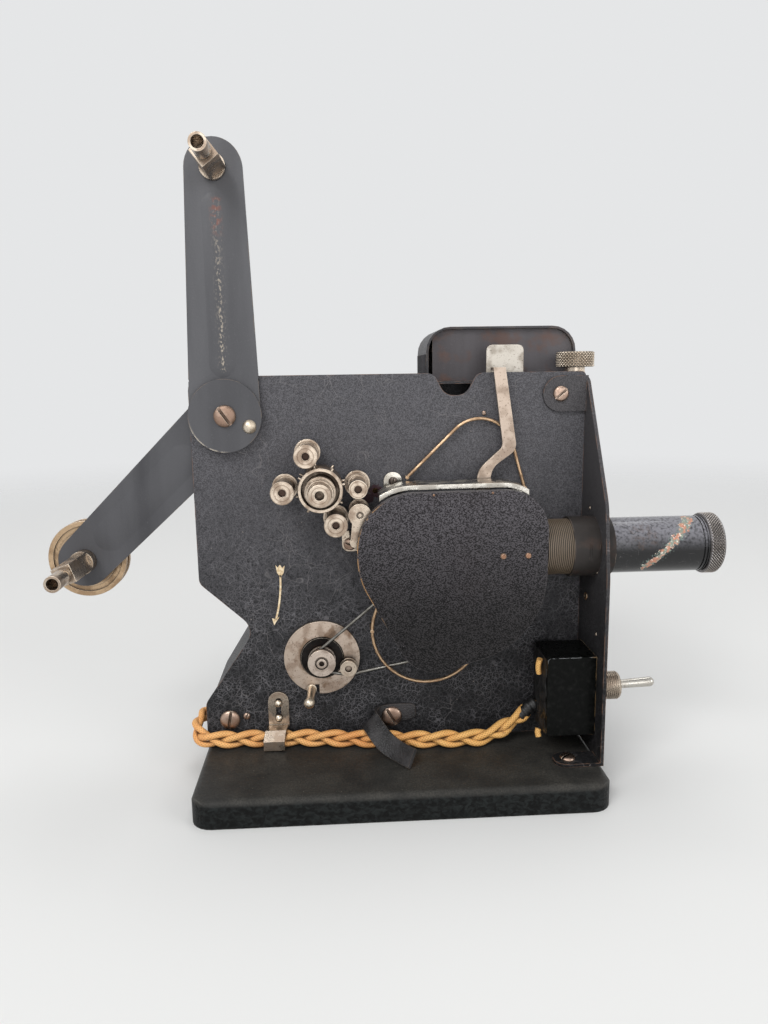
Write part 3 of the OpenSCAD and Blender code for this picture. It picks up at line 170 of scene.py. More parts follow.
def smooth_path(points, steps):
    """Points along a smooth curve through the given points."""
    found = []
    for i in range(len(points) - 1):
        before = points[max(i - 1, 0)]
        here = points[i]
        there = points[i + 1]
        after = points[min(i + 2, len(points) - 1)]
        for s in range(steps):
            t = s / steps
            bend = (2 * before - 5 * here + 4 * there - after) * t ** 2
            bend = bend + (3 * here - before - 3 * there + after) * t ** 3
            found.append(0.5 * (2 * here + (there - before) * t + bend))
    found.append(points[-1])
    return found


def even_path(points, gap):
    """The same path with points an even distance apart."""
    lengths = [0.0]
    for a, b in zip(points, points[1:]):
        lengths.append(lengths[-1] + (b - a).length)
    count = max(2, round(lengths[-1] / gap))
    found = []
    i = 0
    for n in range(count + 1):
        want = lengths[-1] * n / count
        while i < len(points) - 2 and lengths[i + 1] < want:
            i += 1
        share = (want - lengths[i]) / max(lengths[i + 1] - lengths[i], 1e-9)
        found.append(points[i].lerp(points[i + 1], min(share, 1.0)))
    return found


def tube(path, radius, up, sides=10, loop=False):
    """A round tube along a path in metres; up is a direction that the path never takes."""
    rings = []
    count = len(path)
    for i, point in enumerate(path):
        before = path[(i - 1) % count] if loop else path[max(i - 1, 0)]
        after = path[(i + 1) % count] if loop else path[min(i + 1, count - 1)]
        along = (after - before).normalized()
        side = up.cross(along).normalized()
        over = along.cross(side)
        r = radius(i / (count - 1)) if callable(radius) else radius
        angles = [2 * math.pi * k / sides for k in range(sides)]
        rings.append([point + r * (math.cos(a) * side + math.sin(a) * over) for a in angles])
    return skin(rings, loop)


def strand_map(mesh, sides, rings, gap):
    """Map a tube so that one unit across is one turn and one unit along is one turn's length."""
    layer = mesh.uv_layers.new(name="strand")
    for polygon in mesh.polygons:
        if len(polygon.vertices) != 4:
            continue
        for corner in polygon.loop_indices:
            index = mesh.loops[corner].vertex_index % (sides * rings)
            around = index % sides
            wraps = any(mesh.loops[c].vertex_index % sides == sides - 1 for c in polygon.loop_indices)
            if around == 0 and wraps:
                around = sides
            layer.data[corner].uv = (around / sides, index // sides * gap)


def piece(name, shape, look, body, stands_for=(), sharp=40):
    """A new piece that rides on a body and may stand for CAD nodes."""
    mesh = bpy.data.meshes.new(name)
    mesh.from_pydata([tuple(v) for v in shape[0]], [], shape[1])
    repair = bmesh.new()
    repair.from_mesh(mesh)
    bmesh.ops.recalc_face_normals(repair, faces=repair.faces)
    repair.to_mesh(mesh)
    repair.free()
    mesh.materials.append(look.material)
    mesh.shade_smooth()
    mesh.set_sharp_from_angle(angle=math.radians(sharp))
    obj = bpy.data.objects.new(name, mesh)
    bpy.context.scene.collection.objects.link(obj)
    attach(obj, body)
    if stands_for:
        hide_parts(*stands_for)
    return obj


# Materials

class Look:
    """A principled material whose patterns lie in the object's own coordinates at rest, in metres."""

    def __init__(self, name, colour, roughness, metallic=0.0, shine=0.5):
        self.material = bpy.data.materials.new(name)
        self.material.use_nodes = True
        self.tree = self.material.node_tree
        self.shader = self.tree.nodes["Principled BSDF"]
        self.place = self.node("ShaderNodeTexCoord").outputs["Object"]
        self.shader.inputs["Metallic"].default_value = metallic
        self.shader.inputs["Specular IOR Level"].default_value = shine
        self.paint(colour)
        self.put("Roughness", roughness)

    def node(self, kind, sockets=(), **settings):
        """A new node; sockets pairs the names or numbers of inputs with a value or a link."""
        made = self.tree.nodes.new(kind)
        for key, value in settings.items():
            setattr(made, key, value)
        for key, value in dict(sockets).items():
            self.feed(made.inputs[key], value)
        return made

    def feed(self, socket, value):
        if isinstance(value, bpy.types.NodeSocket):
            self.tree.links.new(value, socket)
        else:
            socket.default_value = value

    def put(self, name, value):
        self.feed(self.shader.inputs[name], value)

    def paint(self, colour):
        self.colour = colour
        self.put("Base Color", colour)

    def coat(self, share, colour):
        """Lay a colour over those before it where the share is 1."""
        self.paint(self.mix(share, self.colour, colour))

    def math(self, operation, a, b=0.0):
        return self.node("ShaderNodeMath", {0: a, 1: b}, operation=operation).outputs[0]

    def times(self, a, b):
        return self.math("MULTIPLY", a, b)

    def plus(self, a, b):
        return self.math("ADD", a, b)

    def vector(self, operation, a, b=(0, 0, 0)):
        made = self.node("ShaderNodeVectorMath", {0: a, 1: b}, operation=operation)
        return made.outputs["Value" if operation in ("LENGTH", "DOT_PRODUCT") else 0]

    def noise(self, scale, detail=3.0, stretch=(1, 1, 1), distortion=0.0):
        place = self.vector("MULTIPLY", self.place, stretch)
        sockets = {"Vector": place, "Scale": scale, "Detail": detail, "Distortion": distortion}
        return self.node("ShaderNodeTexNoise", sockets).outputs["Fac"]

    def cracks(self, scale, sway):
        """Distance to the borders of a net of irregular cells, which a slow noise bends by sway metres."""
        bend = self.node("ShaderNodeTexNoise", {"Vector": self.place, "Scale": scale * 0.7})
        shift = self.vector("SUBTRACT", bend.outputs["Color"], (0.5, 0.5, 0.5))
        place = self.vector("ADD", self.place, self.vector("MULTIPLY", shift, (sway * 2,) * 3))
        sockets = {"Vector": place, "Scale": scale}
        return self.node("ShaderNodeTexVoronoi", sockets, feature="DISTANCE_TO_EDGE").outputs["Distance"]

    def patches(self, scale, detail, zero, one, low=0.0, high=1.0):
        return self.ramp(self.noise(scale, detail), zero, one, low, high)

    def part(self, axis, whole=None):
        """One coordinate of the place or of another vector."""
        return self.node("ShaderNodeSeparateXYZ", {0: whole or self.place}).outputs[axis]

    def ramp(self, value, zero, one, low=0.0, high=1.0):
        """A smooth step from low, where the value is zero, to high."""
        sockets = {"Value": value, "From Min": zero, "From Max": one, "To Min": low, "To Max": high}
        return self.node("ShaderNodeMapRange", sockets, interpolation_type="SMOOTHSTEP").outputs["Result"]

    def mix(self, share, a, b):
        """Colour a where the share is 0 and colour b where it is 1."""
        made = self.node("ShaderNodeMix", data_type="RGBA")
        self.feed(made.inputs["Factor"], share)
        self.feed(next(i for i in made.inputs if i.identifier == "A_Color"), a)
        self.feed(next(i for i in made.inputs if i.identifier == "B_Color"), b)
        return next(o for o in made.outputs if o.identifier == "Result_Color")

    def spot_mask(self, at, reach, ragged=0.5):
        """1 within a ragged round patch about a point."""
        away = self.vector("LENGTH", self.vector("SUBTRACT", self.place, tuple(at)))
        rough = self.times(self.noise(700, 4), reach * ragged * 2)
        return self.ramp(self.plus(away, rough), reach * (1 + ragged), reach * (0.8 + ragged))

    def radius(self, at, axis):
        """Distance from an axis through a point."""
        keep = tuple(0 if i == axis else 1 for i in range(3))
        away = self.vector("SUBTRACT", self.place, tuple(at))
        return self.vector("LENGTH", self.vector("MULTIPLY", away, keep))

    def line_mask(self, start, end, half, fade):
        """1 on a straight line between two points on the plate's side, whatever their depth, 0 past half."""
        along = Vector((end.x - start.x, 0, end.z - start.z)).normalized()
        across = (-along.z, 0, along.x)
        away = self.vector("SUBTRACT", self.place, tuple(start))
        off = self.math("ABSOLUTE", self.vector("DOT_PRODUCT", away, across))
        run = self.vector("DOT_PRODUCT", away, tuple(along))
        span = Vector((end.x - start.x, end.z - start.z)).length
        inside = self.times(self.ramp(run, -fade, fade), self.ramp(run, span + fade, span - fade))
        return self.times(self.ramp(off, half, 0.0), inside)

    def hollow_shade_mask(self, reach):
        """1 deep in holes and corners, where ambient occlusion finds shade, 0 on open faces: a mask for
        painted shade.
        """
        made = self.node("ShaderNodeAmbientOcclusion", {"Distance": reach}, samples=8)
        return self.ramp(made.outputs["AO"], 0.8, 0.34)

    def rise(self, zero, one, low=0.0, high=1.0):
        """A step by the height above the base's top, in metres."""
        return self.ramp(self.math("SUBTRACT", self.part("Z"), BASE_TOP), zero, one, low, high)

    def true_normal(self):
        return self.node("ShaderNodeNewGeometry").outputs["Normal"]

    def soft_normal(self, reach):
        return self.node("ShaderNodeBevel", {"Radius": reach}, samples=6).outputs["Normal"]

    def edge(self, reach):
        """1 along edges, fading to 0 within the reach."""
        agree = self.vector("DOT_PRODUCT", self.soft_normal(reach), self.true_normal())
        return self.ramp(agree, 0.99, 0.8)

    def bump(self, height, distance, strength=1.0, round_edges=0.0003):
        made = self.node("ShaderNodeBump", {"Strength": strength, "Distance": distance, "Height": height})
        if round_edges:
            self.feed(made.inputs["Normal"], self.soft_normal(round_edges))
        self.put("Normal", made.outputs["Normal"])


# Colours laid over paint and metal; the grime colour also darkens hollows as painted shade
RUST = rgb(104, 72, 56)
GRIME_AND_SHADE = rgb(38, 29, 24)
PITS = rgb(70, 55, 45)
RUBBED_AND_HIGHLIGHT = rgb(214, 202, 186)


def blend(a, b, share):
    """A colour between two colours."""
    return tuple(p + (q - p) * share for p, q in zip(a, b))


def crackled_enamel(name, low, high, crackle):
    """Old black enamel, lighter high up as painted light falling from above: a net of pale cracks, hairlines,
    bare chips and rubbed edges.
    """
    look = Look(name, low, 0.5, shine=0.12)
    # Painted light: the colour grows from the low colour to the high colour with height
    look.coat(look.rise(0.02, 0.15), high)
    grain = look.noise(2400, 3)
    look.coat(look.ramp(grain, 0.64, 0.36, 0.0, 0.6), rgb(24, 24, 26))
    low_down = look.rise(0.14, 0.05, 0.25, 1.0)
    wide = look.ramp(look.cracks(380, 0.0007), 0.06, 0.01)
    narrow = look.ramp(look.cracks(800, 0.0004), 0.08, 0.02, 0.0, 0.7)
    patchy = look.times(look.patches(90, 5, 0.35, 0.65, 0.25, 1.0), low_down)
    net = look.times(look.math("MAXIMUM", wide, narrow), patchy)
    look.coat(look.times(net, crackle), rgb(134, 132, 136))
    spots = look.times(look.patches(620, 5, 0.54, 0.68, 0.0, 0.7), low_down)
    look.coat(spots, rgb(22, 22, 24))
    hairs = look.ramp(look.cracks(110, 0.004), 0.016, 0.004)
    hairs = look.times(hairs, look.patches(34, 2, 0.5, 0.66, 0.0, 0.32))
    look.coat(hairs, rgb(138, 134, 134))
    specks = look.patches(750, 2, 0.765, 0.785)
    look.coat(specks, rgb(140, 132, 126))
    chips = look.patches(130, 6, 0.75, 0.77)
    look.coat(chips, RUST)
    worn = look.times(look.edge(0.0007), look.patches(160, 5, 0.42, 0.6))
    look.coat(worn, rgb(126, 98, 82))
    look.put("Roughness", look.ramp(grain, 0.2, 0.8, 0.36, 0.6))
    relief = look.plus(look.times(net, -0.6), look.times(grain, 0.6))
    look.bump(relief, 0.00014, 0.9)
    return look


def satin_enamel(name, dark, pale, rust_share=0.0):
    """Smooth pressed sheet under black enamel, rubbed along its edges and lightly speckled."""
    look = Look(name, dark, 0.45, shine=0.18)
    streaks = look.noise(60, 4, (1, 1, 0.12))
    speckle = look.noise(1100, 4)
    look.coat(look.ramp(streaks, 0.3, 0.7), pale)
    look.coat(look.ramp(speckle, 0.6, 0.72, 0.0, 0.5), pale)
    if rust_share:
        rust = look.times(look.patches(90, 7, 0.5, 0.66), rust_share)
        look.coat(rust, RUST)
    worn = look.times(look.edge(0.0006), look.patches(140, 5, 0.46, 0.62))
    look.coat(worn, rgb(132, 118, 106))
    look.put("Roughness", look.ramp(speckle, 0.25, 0.75, 0.34, 0.54))
    look.bump(look.plus(speckle, look.times(streaks, 0.6)), 0.00007, 0.8)
    return look


def aged_metal(name, bright, dull, roughness, turned_at=None, axis=1, tarnish=0.6, hollow_shade=0.85, ringed=0.0):
    """Plated or bare metal: brown tarnish, painted shade in hollows, rubbed edges brightened also as a
    painted highlight and, if turned, fine rings.
    """
    look = Look(name, bright, roughness, 1.0)
    stain = look.patches(170, 7, 0.42, 0.64)
    pits = look.patches(1500, 3, 0.6, 0.7)
    look.coat(look.times(stain, tarnish), dull)
    look.coat(look.times(pits, 0.6), PITS)
    grain = look.noise(700, 4)
    if turned_at is not None:
        away = look.plus(look.radius(turned_at, axis), look.times(grain, 0.0002))
        coarse = look.math("SINE", look.times(away, 2 * math.pi / 0.0015))
        fine = look.math("SINE", look.times(away, 2 * math.pi / 0.00045))
        look.coat(look.ramp(coarse, 0.45, 1.0, 0.0, ringed), blend(dull, GRIME_AND_SHADE, 0.4))
        rings = look.plus(look.times(coarse, 0.12), look.times(fine, 0.2))
        grain = look.plus(rings, grain)
    # Rubbed edges, lightened both as worn metal and as a painted highlight
    look.coat(look.times(look.edge(0.0005), 0.6), RUBBED_AND_HIGHLIGHT)
    # Painted shade: hollows and contacts darkened by ambient occlusion
    look.coat(look.times(look.hollow_shade_mask(0.003), hollow_shade), GRIME_AND_SHADE)
    look.put("Roughness", look.ramp(stain, 0.0, 1.0, roughness - 0.08, roughness + 0.14))
    look.bump(grain, 0.00006, 0.7)
    return look


# Paint of the plates
# The second colour of each enamel is how light it is painted higher up, as painted light from above
plate_look = crackled_enamel("plate_enamel", rgb(42, 42, 43), rgb(98, 97, 101), 0.5)
oil_stain = plate_look.spot_mask(spot(-7.7, 0, 116.6), 0.0032)
smear = plate_look.math("MAXIMUM", oil_stain, plate_look.spot_mask(spot(-10.6, 0, 113.4), 0.0024))
smear = plate_look.times(smear, 0.75)
plate_look.coat(smear, rgb(58, 26, 32))
casing_look = crackled_enamel("casing_enamel", rgb(40, 40, 42), rgb(62, 61, 63), 0.6)
panel_look = crackled_enamel("panel_enamel", rgb(28, 28, 28), rgb(88, 86, 88), 0.2)
arm_look = satin_enamel("arm_enamel", rgb(66, 66, 69), rgb(84, 84, 87))
lamp_look = satin_enamel("lamp_house_enamel", rgb(56, 55, 57), rgb(76, 74, 77), 0.15)
sleeve_look = satin_enamel("sleeve_enamel", rgb(34, 32, 31), rgb(54, 50, 48), 0.2)
rusty_look = satin_enamel("rusty_panel", rgb(74, 70, 72), rgb(94, 91, 94), 0.5)


def upper_arm_enamel():
    """The arm's paint, rubbed along its rib: copper red at the top, silvery flecks further down."""
    look = satin_enamel("upper_arm_enamel", rgb(82, 82, 85), rgb(98, 98, 101))
    top = spot(-71.0, 0, 239)
    foot = spot(-71.1, 0, 169.5)
    wide = look.line_mask(top, foot, 0.0034, 0.001)
    thin = look.line_mask(top, foot, 0.0012, 0.001)
    flecks = look.ramp(look.noise(1500, 5, (1, 1, 0.6)), 0.52, 0.64)
    patches = look.patches(480, 7, 0.47, 0.58)
    high_up = look.rise(0.222, 0.231)
    red = look.times(look.times(wide, patches), high_up)
    look.coat(look.times(red, 0.7), rgb(138, 88, 76))
    dust_and_painted_light = look.times(look.times(wide, flecks), 0.4)
    look.coat(dust_and_painted_light, rgb(150, 142, 132))
    lower = look.rise(0.23, 0.19, 0.1, 0.6)
    bare = look.times(look.times(thin, flecks), lower)
    look.coat(bare, rgb(198, 186, 168))
    end = look.spot_mask(spot(-71.1, 10, 172), 0.0024)
    look.coat(look.times(end, thin), rgb(222, 202, 186))
    return look


def disc_enamel():
    """The disc's paint, worn to bright metal along the lower left of its rim."""
    look = satin_enamel("disc_enamel", rgb(76, 76, 79), rgb(92, 92, 95))
    worn_at = middle("arm_disc") + Vector((-0.0085, 0, -0.011))
    near = look.ramp(look.radius(worn_at, 1), 0.012, 0.005)
    edge_wear_and_highlight = look.times(look.edge(0.0014), look.patches(420, 5, 0.32, 0.44))
    share = look.times(near, edge_wear_and_highlight)
    look.coat(share, rgb(206, 196, 180))
    return look


def cover_covering():
    """Black leather-grained cloth, lighter higher up as painted light, its rim rubbed bright with a painted
    highlight and, on the left, down to brass.
    """
    look = Look("cover_grain", rgb(34, 32, 34), 0.55, shine=0.12)
    pebbles = look.ramp(look.cracks(1150, 0.0005), 0.0, 0.3)
    threads = look.noise(2100, 3, (0.8, 1, 1))
    # Painted light: the cloth's colours grow lighter with height
    dust_and_painted_light = look.rise(0.055, 0.13)
    deep = look.mix(dust_and_painted_light, rgb(10, 10, 10), rgb(42, 40, 42))
    raised = look.mix(dust_and_painted_light, rgb(50, 48, 49), rgb(98, 95, 99))
    look.paint(look.mix(look.ramp(threads, 0.4, 0.6), deep, raised))
    look.coat(look.patches(24, 3, 0.45, 0.75, 0.0, 0.3), rgb(52, 46, 46))
    look.coat(look.patches(900, 2, 0.78, 0.8), rgb(150, 146, 146))
    rim = look.edge(0.0005)
    left = look.ramp(look.part("X"), -0.004, -0.011)
    bare = look.times(left, look.patches(190, 6, 0.42, 0.5))
    # The rim's pale line is partly wear and partly a painted highlight
    look.coat(look.times(rim, 0.4), rgb(128, 122, 122))
    brassy = look.times(look.edge(0.0011), bare)
    look.coat(brassy, rgb(196, 152, 104))
    look.put("Roughness", look.ramp(threads, 0.2, 0.8, 0.4, 0.62))
    look.bump(look.plus(pebbles, look.times(threads, 0.8)), 0.00014, 0.9)
    return look


def base_covering():
    """Painted board: a smooth top with dust specks, lighter than the dark wrinkled sides partly as painted
    light from above, and a rubbed upper edge that is partly a painted highlight.
    """
    look = Look("base_paint", rgb(52, 52, 50), 0.5, shine=0.14)
    # The top's lighter colour is partly painted light falling from above
    top = look.rise(-0.003, -0.0008)
    wrinkle = look.noise(520, 6, (0.7, 1, 1), 0.8)
    side = look.mix(look.ramp(wrinkle, 0.4, 0.66), rgb(9, 10, 10), rgb(30, 33, 33))
    smooth = look.mix(look.patches(70, 5, 0.3, 0.7), rgb(50, 49, 47), rgb(68, 66, 62))
    smooth = look.mix(look.patches(1400, 4, 0.6, 0.4, 0.0, 0.5), smooth, rgb(34, 34, 33))
    look.paint(look.mix(top, side, smooth))
    dust = look.patches(1300, 3, 0.7, 0.76, 0.0, 0.7)
    look.coat(look.times(dust, top), rgb(130, 126, 116))
    # Edge line: partly wear, partly a painted highlight
    edge_wear_and_highlight = look.times(look.edge(0.0014), look.patches(300, 6, 0.36, 0.6))
    look.coat(look.times(edge_wear_and_highlight, 0.5), rgb(112, 112, 108))
    look.put("Roughness", look.ramp(wrinkle, 0.3, 0.7, 0.38, 0.56))
    relief = look.times(wrinkle, look.ramp(top, 0.0, 1.0, 1.0, 0.08))
    look.bump(relief, 0.0007, 0.9, 0.0018)
    return look


NICKEL = rgb(188, 174, 158)
NICKEL_DULL = rgb(122, 98, 80)
BRASS = rgb(190, 152, 110)
BRASS_DULL = rgb(118, 86, 60)
nickel = aged_metal("nickel", NICKEL, NICKEL_DULL, 0.32)
bright_nickel = aged_metal("bright_nickel", rgb(196, 192, 184), rgb(140, 130, 116), 0.3, tarnish=0.4)
clip_nickel = aged_metal("clip_nickel", rgb(178, 172, 163), rgb(150, 138, 124), 0.5, tarnish=0.4)
handle_nickel = aged_metal("handle_nickel", rgb(214, 202, 184), rgb(168, 150, 128), 0.42, tarnish=0.4,
    hollow_shade=0.5)
grey_steel = aged_metal("grey_steel", rgb(132, 126, 118), rgb(84, 72, 62), 0.4)
black_steel = aged_metal("black_steel", rgb(40, 38, 37), rgb(26, 24, 23), 0.5)
lever_steel = aged_metal("lever_steel", rgb(178, 162, 148), rgb(150, 130, 114), 0.5, tarnish=0.4)
brass = aged_metal("brass", BRASS, BRASS_DULL, 0.36)
gear_brass = aged_metal("gear_brass", rgb(104, 82, 56), rgb(60, 46, 34), 0.5)
wire_brass = aged_metal("wire_brass", rgb(190, 160, 128), rgb(134, 106, 82), 0.45)
copper = aged_metal("copper", rgb(150, 114, 92), rgb(92, 66, 52), 0.42, hollow_shade=0.5)
screw_metal = aged_metal("screw_metal", rgb(178, 154, 138), rgb(120, 94, 78), 0.42, tarnish=0.6)
dark_screw = aged_metal("dark_screw", rgb(96, 86, 80), rgb(50, 42, 38), 0.45)
spring_wire = aged_metal("spring_wire", rgb(124, 122, 117), rgb(80, 76, 71), 0.38)


def turned_metal(node, bright=NICKEL, dull=NICKEL_DULL, roughness=0.36, ringed=0.0):
    """Metal with rings about the node's own shaft."""
    return aged_metal(node + "_metal", bright, dull, roughness, middle(node), ringed=ringed)


def knurled_metal(name, bright, dull, at, axis, reach):
    """Knurled metal, darkened down between the points as painted shade."""
    look = aged_metal(name, bright, dull, 0.36)
    def below(points):
        return (reach - points * KNURL_DEPTH) * MM
    out_on_points = look.ramp(look.radius(at, axis), below(1), below(0.15))
    on_wall = look.ramp(look.radius(at, axis), below(1.3), below(1.1))
    # Painted shade down between the points
    soil_and_shade = look.math("SUBTRACT", on_wall, out_on_points)
    look.coat(look.times(soil_and_shade, 0.75), rgb(36, 32, 30))
    return look


def stud_nickel_look():
    """Nickel studs: bright heads on the clip, and ends inside the rollers higher up darkened as painted
    shade.
    """
    look = aged_metal("stud_nickel", rgb(214, 202, 184), rgb(168, 150, 128), 0.34, tarnish=0.4)
    # Painted shade on the stud ends sunk inside the rollers
    look.coat(look.rise(0.03, 0.05), rgb(62, 50, 44))
    return look


def ring_plate():
    """The tension ring's steel with rust-brown patches."""
    look = turned_metal("tension_ring", rgb(182, 166, 152), rgb(138, 118, 102), 0.42)
    rust = look.patches(130, 7, 0.5, 0.6)
    look.coat(look.times(rust, 0.75), rgb(116, 92, 72))
    return look


BARREL_R = (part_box("lens_barrel")[1].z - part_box("lens_barrel")[0].z) / 2


def barrel_lacquer():
    """Glossy black lacquer with flecks and scratches, a painted highlight on its upper side, a bare rear
    thread with roots darkened as painted shade and an oblique worn streak.
    """
    look = Look("barrel_lacquer", rgb(16, 16, 18), 0.16)
    # Painted highlight: faces turned up are lighter, for the sky's reflection, with some dust
    dust_and_painted_light = look.ramp(look.part("Z", look.true_normal()), -0.1, 0.7)
    x = look.part("X")
    thread = look.ramp(x, (PLATE_RIGHT - 11.0) * MM, (PLATE_RIGHT - 11.3) * MM)
    start = spot(103.6, 0, 83.4)
    end = spot(127.4, 0, 106.4)
    near_side = look.ramp(look.part("Y"), middle("lens_barrel").y + 0.004, middle("lens_barrel").y - 0.002)
    ragged = look.noise(650, 7)
    wide = look.times(look.line_mask(start, end, 0.0075, 0.0016), near_side)
    thin = look.times(look.line_mask(start, end, 0.0046, 0.0022), near_side)
    streak = look.ramp(look.plus(look.times(thin, 0.6), ragged), 0.92, 1.0)
    frayed = look.plus(look.times(wide, 0.5), look.noise(1400, 5))
    halo = look.ramp(frayed, 0.94, 1.06, 0.0, 0.75)
    tints = look.mix(look.patches(520, 6, 0.42, 0.58), rgb(124, 138, 126), rgb(186, 128, 104))
    tints = look.mix(look.patches(1300, 4, 0.56, 0.66), tints, rgb(226, 214, 200))
    flecks = look.patches(1700, 5, 0.64, 0.7, 0.0, 0.8)
    flecks = look.times(flecks, look.patches(110, 4, 0.42, 0.6))
    scratches = look.ramp(look.noise(500, 5, (0.12, 1, 1)), 0.64, 0.7, 0.0, 0.4)
    brown = look.times(look.spot_mask(spot(104, 27, 99), 0.007), look.ramp(ragged, 0.45, 0.6))
    look.paint(look.mix(look.math("MAXIMUM", flecks, scratches), rgb(14, 14, 16), rgb(112, 110, 110)))
    # Upper faces lightened: painted reflection and dust
    dust_and_painted_light = look.times(dust_and_painted_light, look.patches(900, 5, 0.2, 0.6))
    look.coat(dust_and_painted_light, rgb(124, 123, 129))
    look.coat(look.times(brown, 0.3), rgb(86, 66, 54))
    look.coat(halo, rgb(108, 126, 120))
    look.coat(streak, tints)
    # The thread's crests are bare metal; its roots are darkened as painted shade
    tops = look.ramp(look.radius(middle("lens_barrel"), 0), BARREL_R - 0.0005, BARREL_R - 0.0001)
    bare = look.mix(tops, rgb(26, 22, 19), rgb(112, 98, 82))
    look.coat(thread, bare)
    dull = look.math("MAXIMUM", look.math("MAXIMUM", streak, thread), halo)
    look.put("Roughness", look.ramp(dull, 0.0, 1.0, 0.15, 0.48))
    look.bump(look.plus(look.noise(260, 4), look.times(flecks, -0.3)), 0.0001, 0.6)
    return look


def cotton():
    """Waxed cotton thread wound in two directions over each strand, mapped along and round it."""
    look = Look("cotton_braid", rgb(206, 150, 92), 0.6)
    mapped = look.node("ShaderNodeUVMap", uv_map="strand").outputs["UV"]
    around = look.times(look.part("X", mapped), 12 * math.pi)
    along = look.times(look.part("Y", mapped), 2 * math.pi / 0.0012)
    left = look.math("SINE", look.plus(around, along))
    right = look.math("SINE", look.math("SUBTRACT", along, around))
    weave = look.math("MAXIMUM", left, right)
    cloud = look.noise(70, 4)
    look.paint(look.mix(look.ramp(cloud, 0.35, 0.68), rgb(246, 188, 118), rgb(228, 158, 92)))
    yellow = look.ramp(look.part("X"), -0.03, 0.045)
    look.coat(look.times(yellow, 0.6), rgb(246, 196, 112))
    look.coat(look.ramp(weave, 0.4, -0.6, 0.0, 0.55), rgb(150, 92, 46))
    soil_and_shade = look.patches(260, 6, 0.58, 0.74, 0.0, 0.5)
    look.coat(soil_and_shade, rgb(124, 80, 46))
    # Painted shade between the strands, from ambient occlusion
    between = look.times(look.hollow_shade_mask(0.003), 0.8)
    look.coat(between, rgb(92, 54, 26))
    look.bump(weave, 0.00012, 0.7, 0)
    return look


def black_tape(name, dark, pale, roughness):
    """Creased rubbered cloth or plain rubber."""
    look = Look(name, dark, roughness)
    folds = look.noise(240, 5, distortion=0.6)
    weave = look.noise(1800, 2)
    look.coat(look.ramp(folds, 0.35, 0.75), pale)
    look.put("Roughness", look.ramp(folds, 0.3, 0.7, roughness - 0.1, roughness + 0.12))
    look.bump(look.plus(folds, look.times(weave, 0.3)), 0.0003, 0.6, 0)
    return look


def strap_leather():
    """Black hide, brown where its cut edges show."""
    look = Look("strap_leather", rgb(28, 26, 26), 0.5)
    grain = look.ramp(look.cracks(900, 0.0005), 0.0, 0.25)
    cloud = look.noise(120, 4)
    look.paint(look.mix(look.ramp(cloud, 0.35, 0.7), rgb(28, 27, 28), rgb(58, 56, 57)))
    look.coat(look.times(look.edge(0.0005), 0.6), rgb(98, 82, 70))
    look.put("Roughness", look.ramp(cloud, 0.3, 0.7, 0.42, 0.6))
    look.bump(look.plus(grain, cloud), 0.00016, 0.8)
    return look


def bakelite():
    """Black moulding wrapped in tape: glossy, worn to grey metal on top and to brass on the right."""
    look = Look("bakelite", rgb(12, 12, 13), 0.3, shine=0.08)
    dust = look.noise(420, 5)
    look.paint(look.mix(look.ramp(dust, 0.48, 0.8), rgb(9, 10, 9), rgb(26, 26, 25)))
    edge = look.times(look.edge(0.0006), look.patches(260, 6, 0.4, 0.52))
    high_up = look.rise((SWITCH_TOP - 3) * MM, (SWITCH_TOP - 1) * MM)
    right = look.ramp(look.part("X"), (PLATE_RIGHT - 3) * MM, (PLATE_RIGHT - 1) * MM)
    look.coat(look.times(edge, high_up), rgb(150, 152, 154))
    look.coat(look.times(edge, right), rgb(170, 140, 100))
    look.put("Roughness", look.ramp(dust, 0.3, 0.7, 0.22, 0.46))
    look.bump(dust, 0.00006, 0.6)
    return look


def lens_glass():
    """Clear glass with a breath of dust."""
    look = Look("lens_glass", (0.95, 0.97, 0.98, 1), 0.03)
    look.shader.inputs["Transmission Weight"].default_value = 1.0
    look.shader.inputs["IOR"].default_value = 1.52
    look.put("Roughness", look.patches(300, 4, 0.5, 0.8, 0.02, 0.12))
    return look


def cream_paint():
    """Thin hand-painted cream."""
    look = Look("cream_paint", rgb(232, 212, 176), 0.6)
    flecks = look.patches(900, 4, 0.35, 0.65)
    look.paint(look.mix(flecks, rgb(238, 220, 188), rgb(206, 178, 136)))
    look.bump(look.noise(1500, 3), 0.00004, 0.6, 0)
    return look


def set_look(look, *names):
    for name in names:
        mesh = nodes[name].data
        mesh.materials.clear()
        mesh.materials.append(look.material)


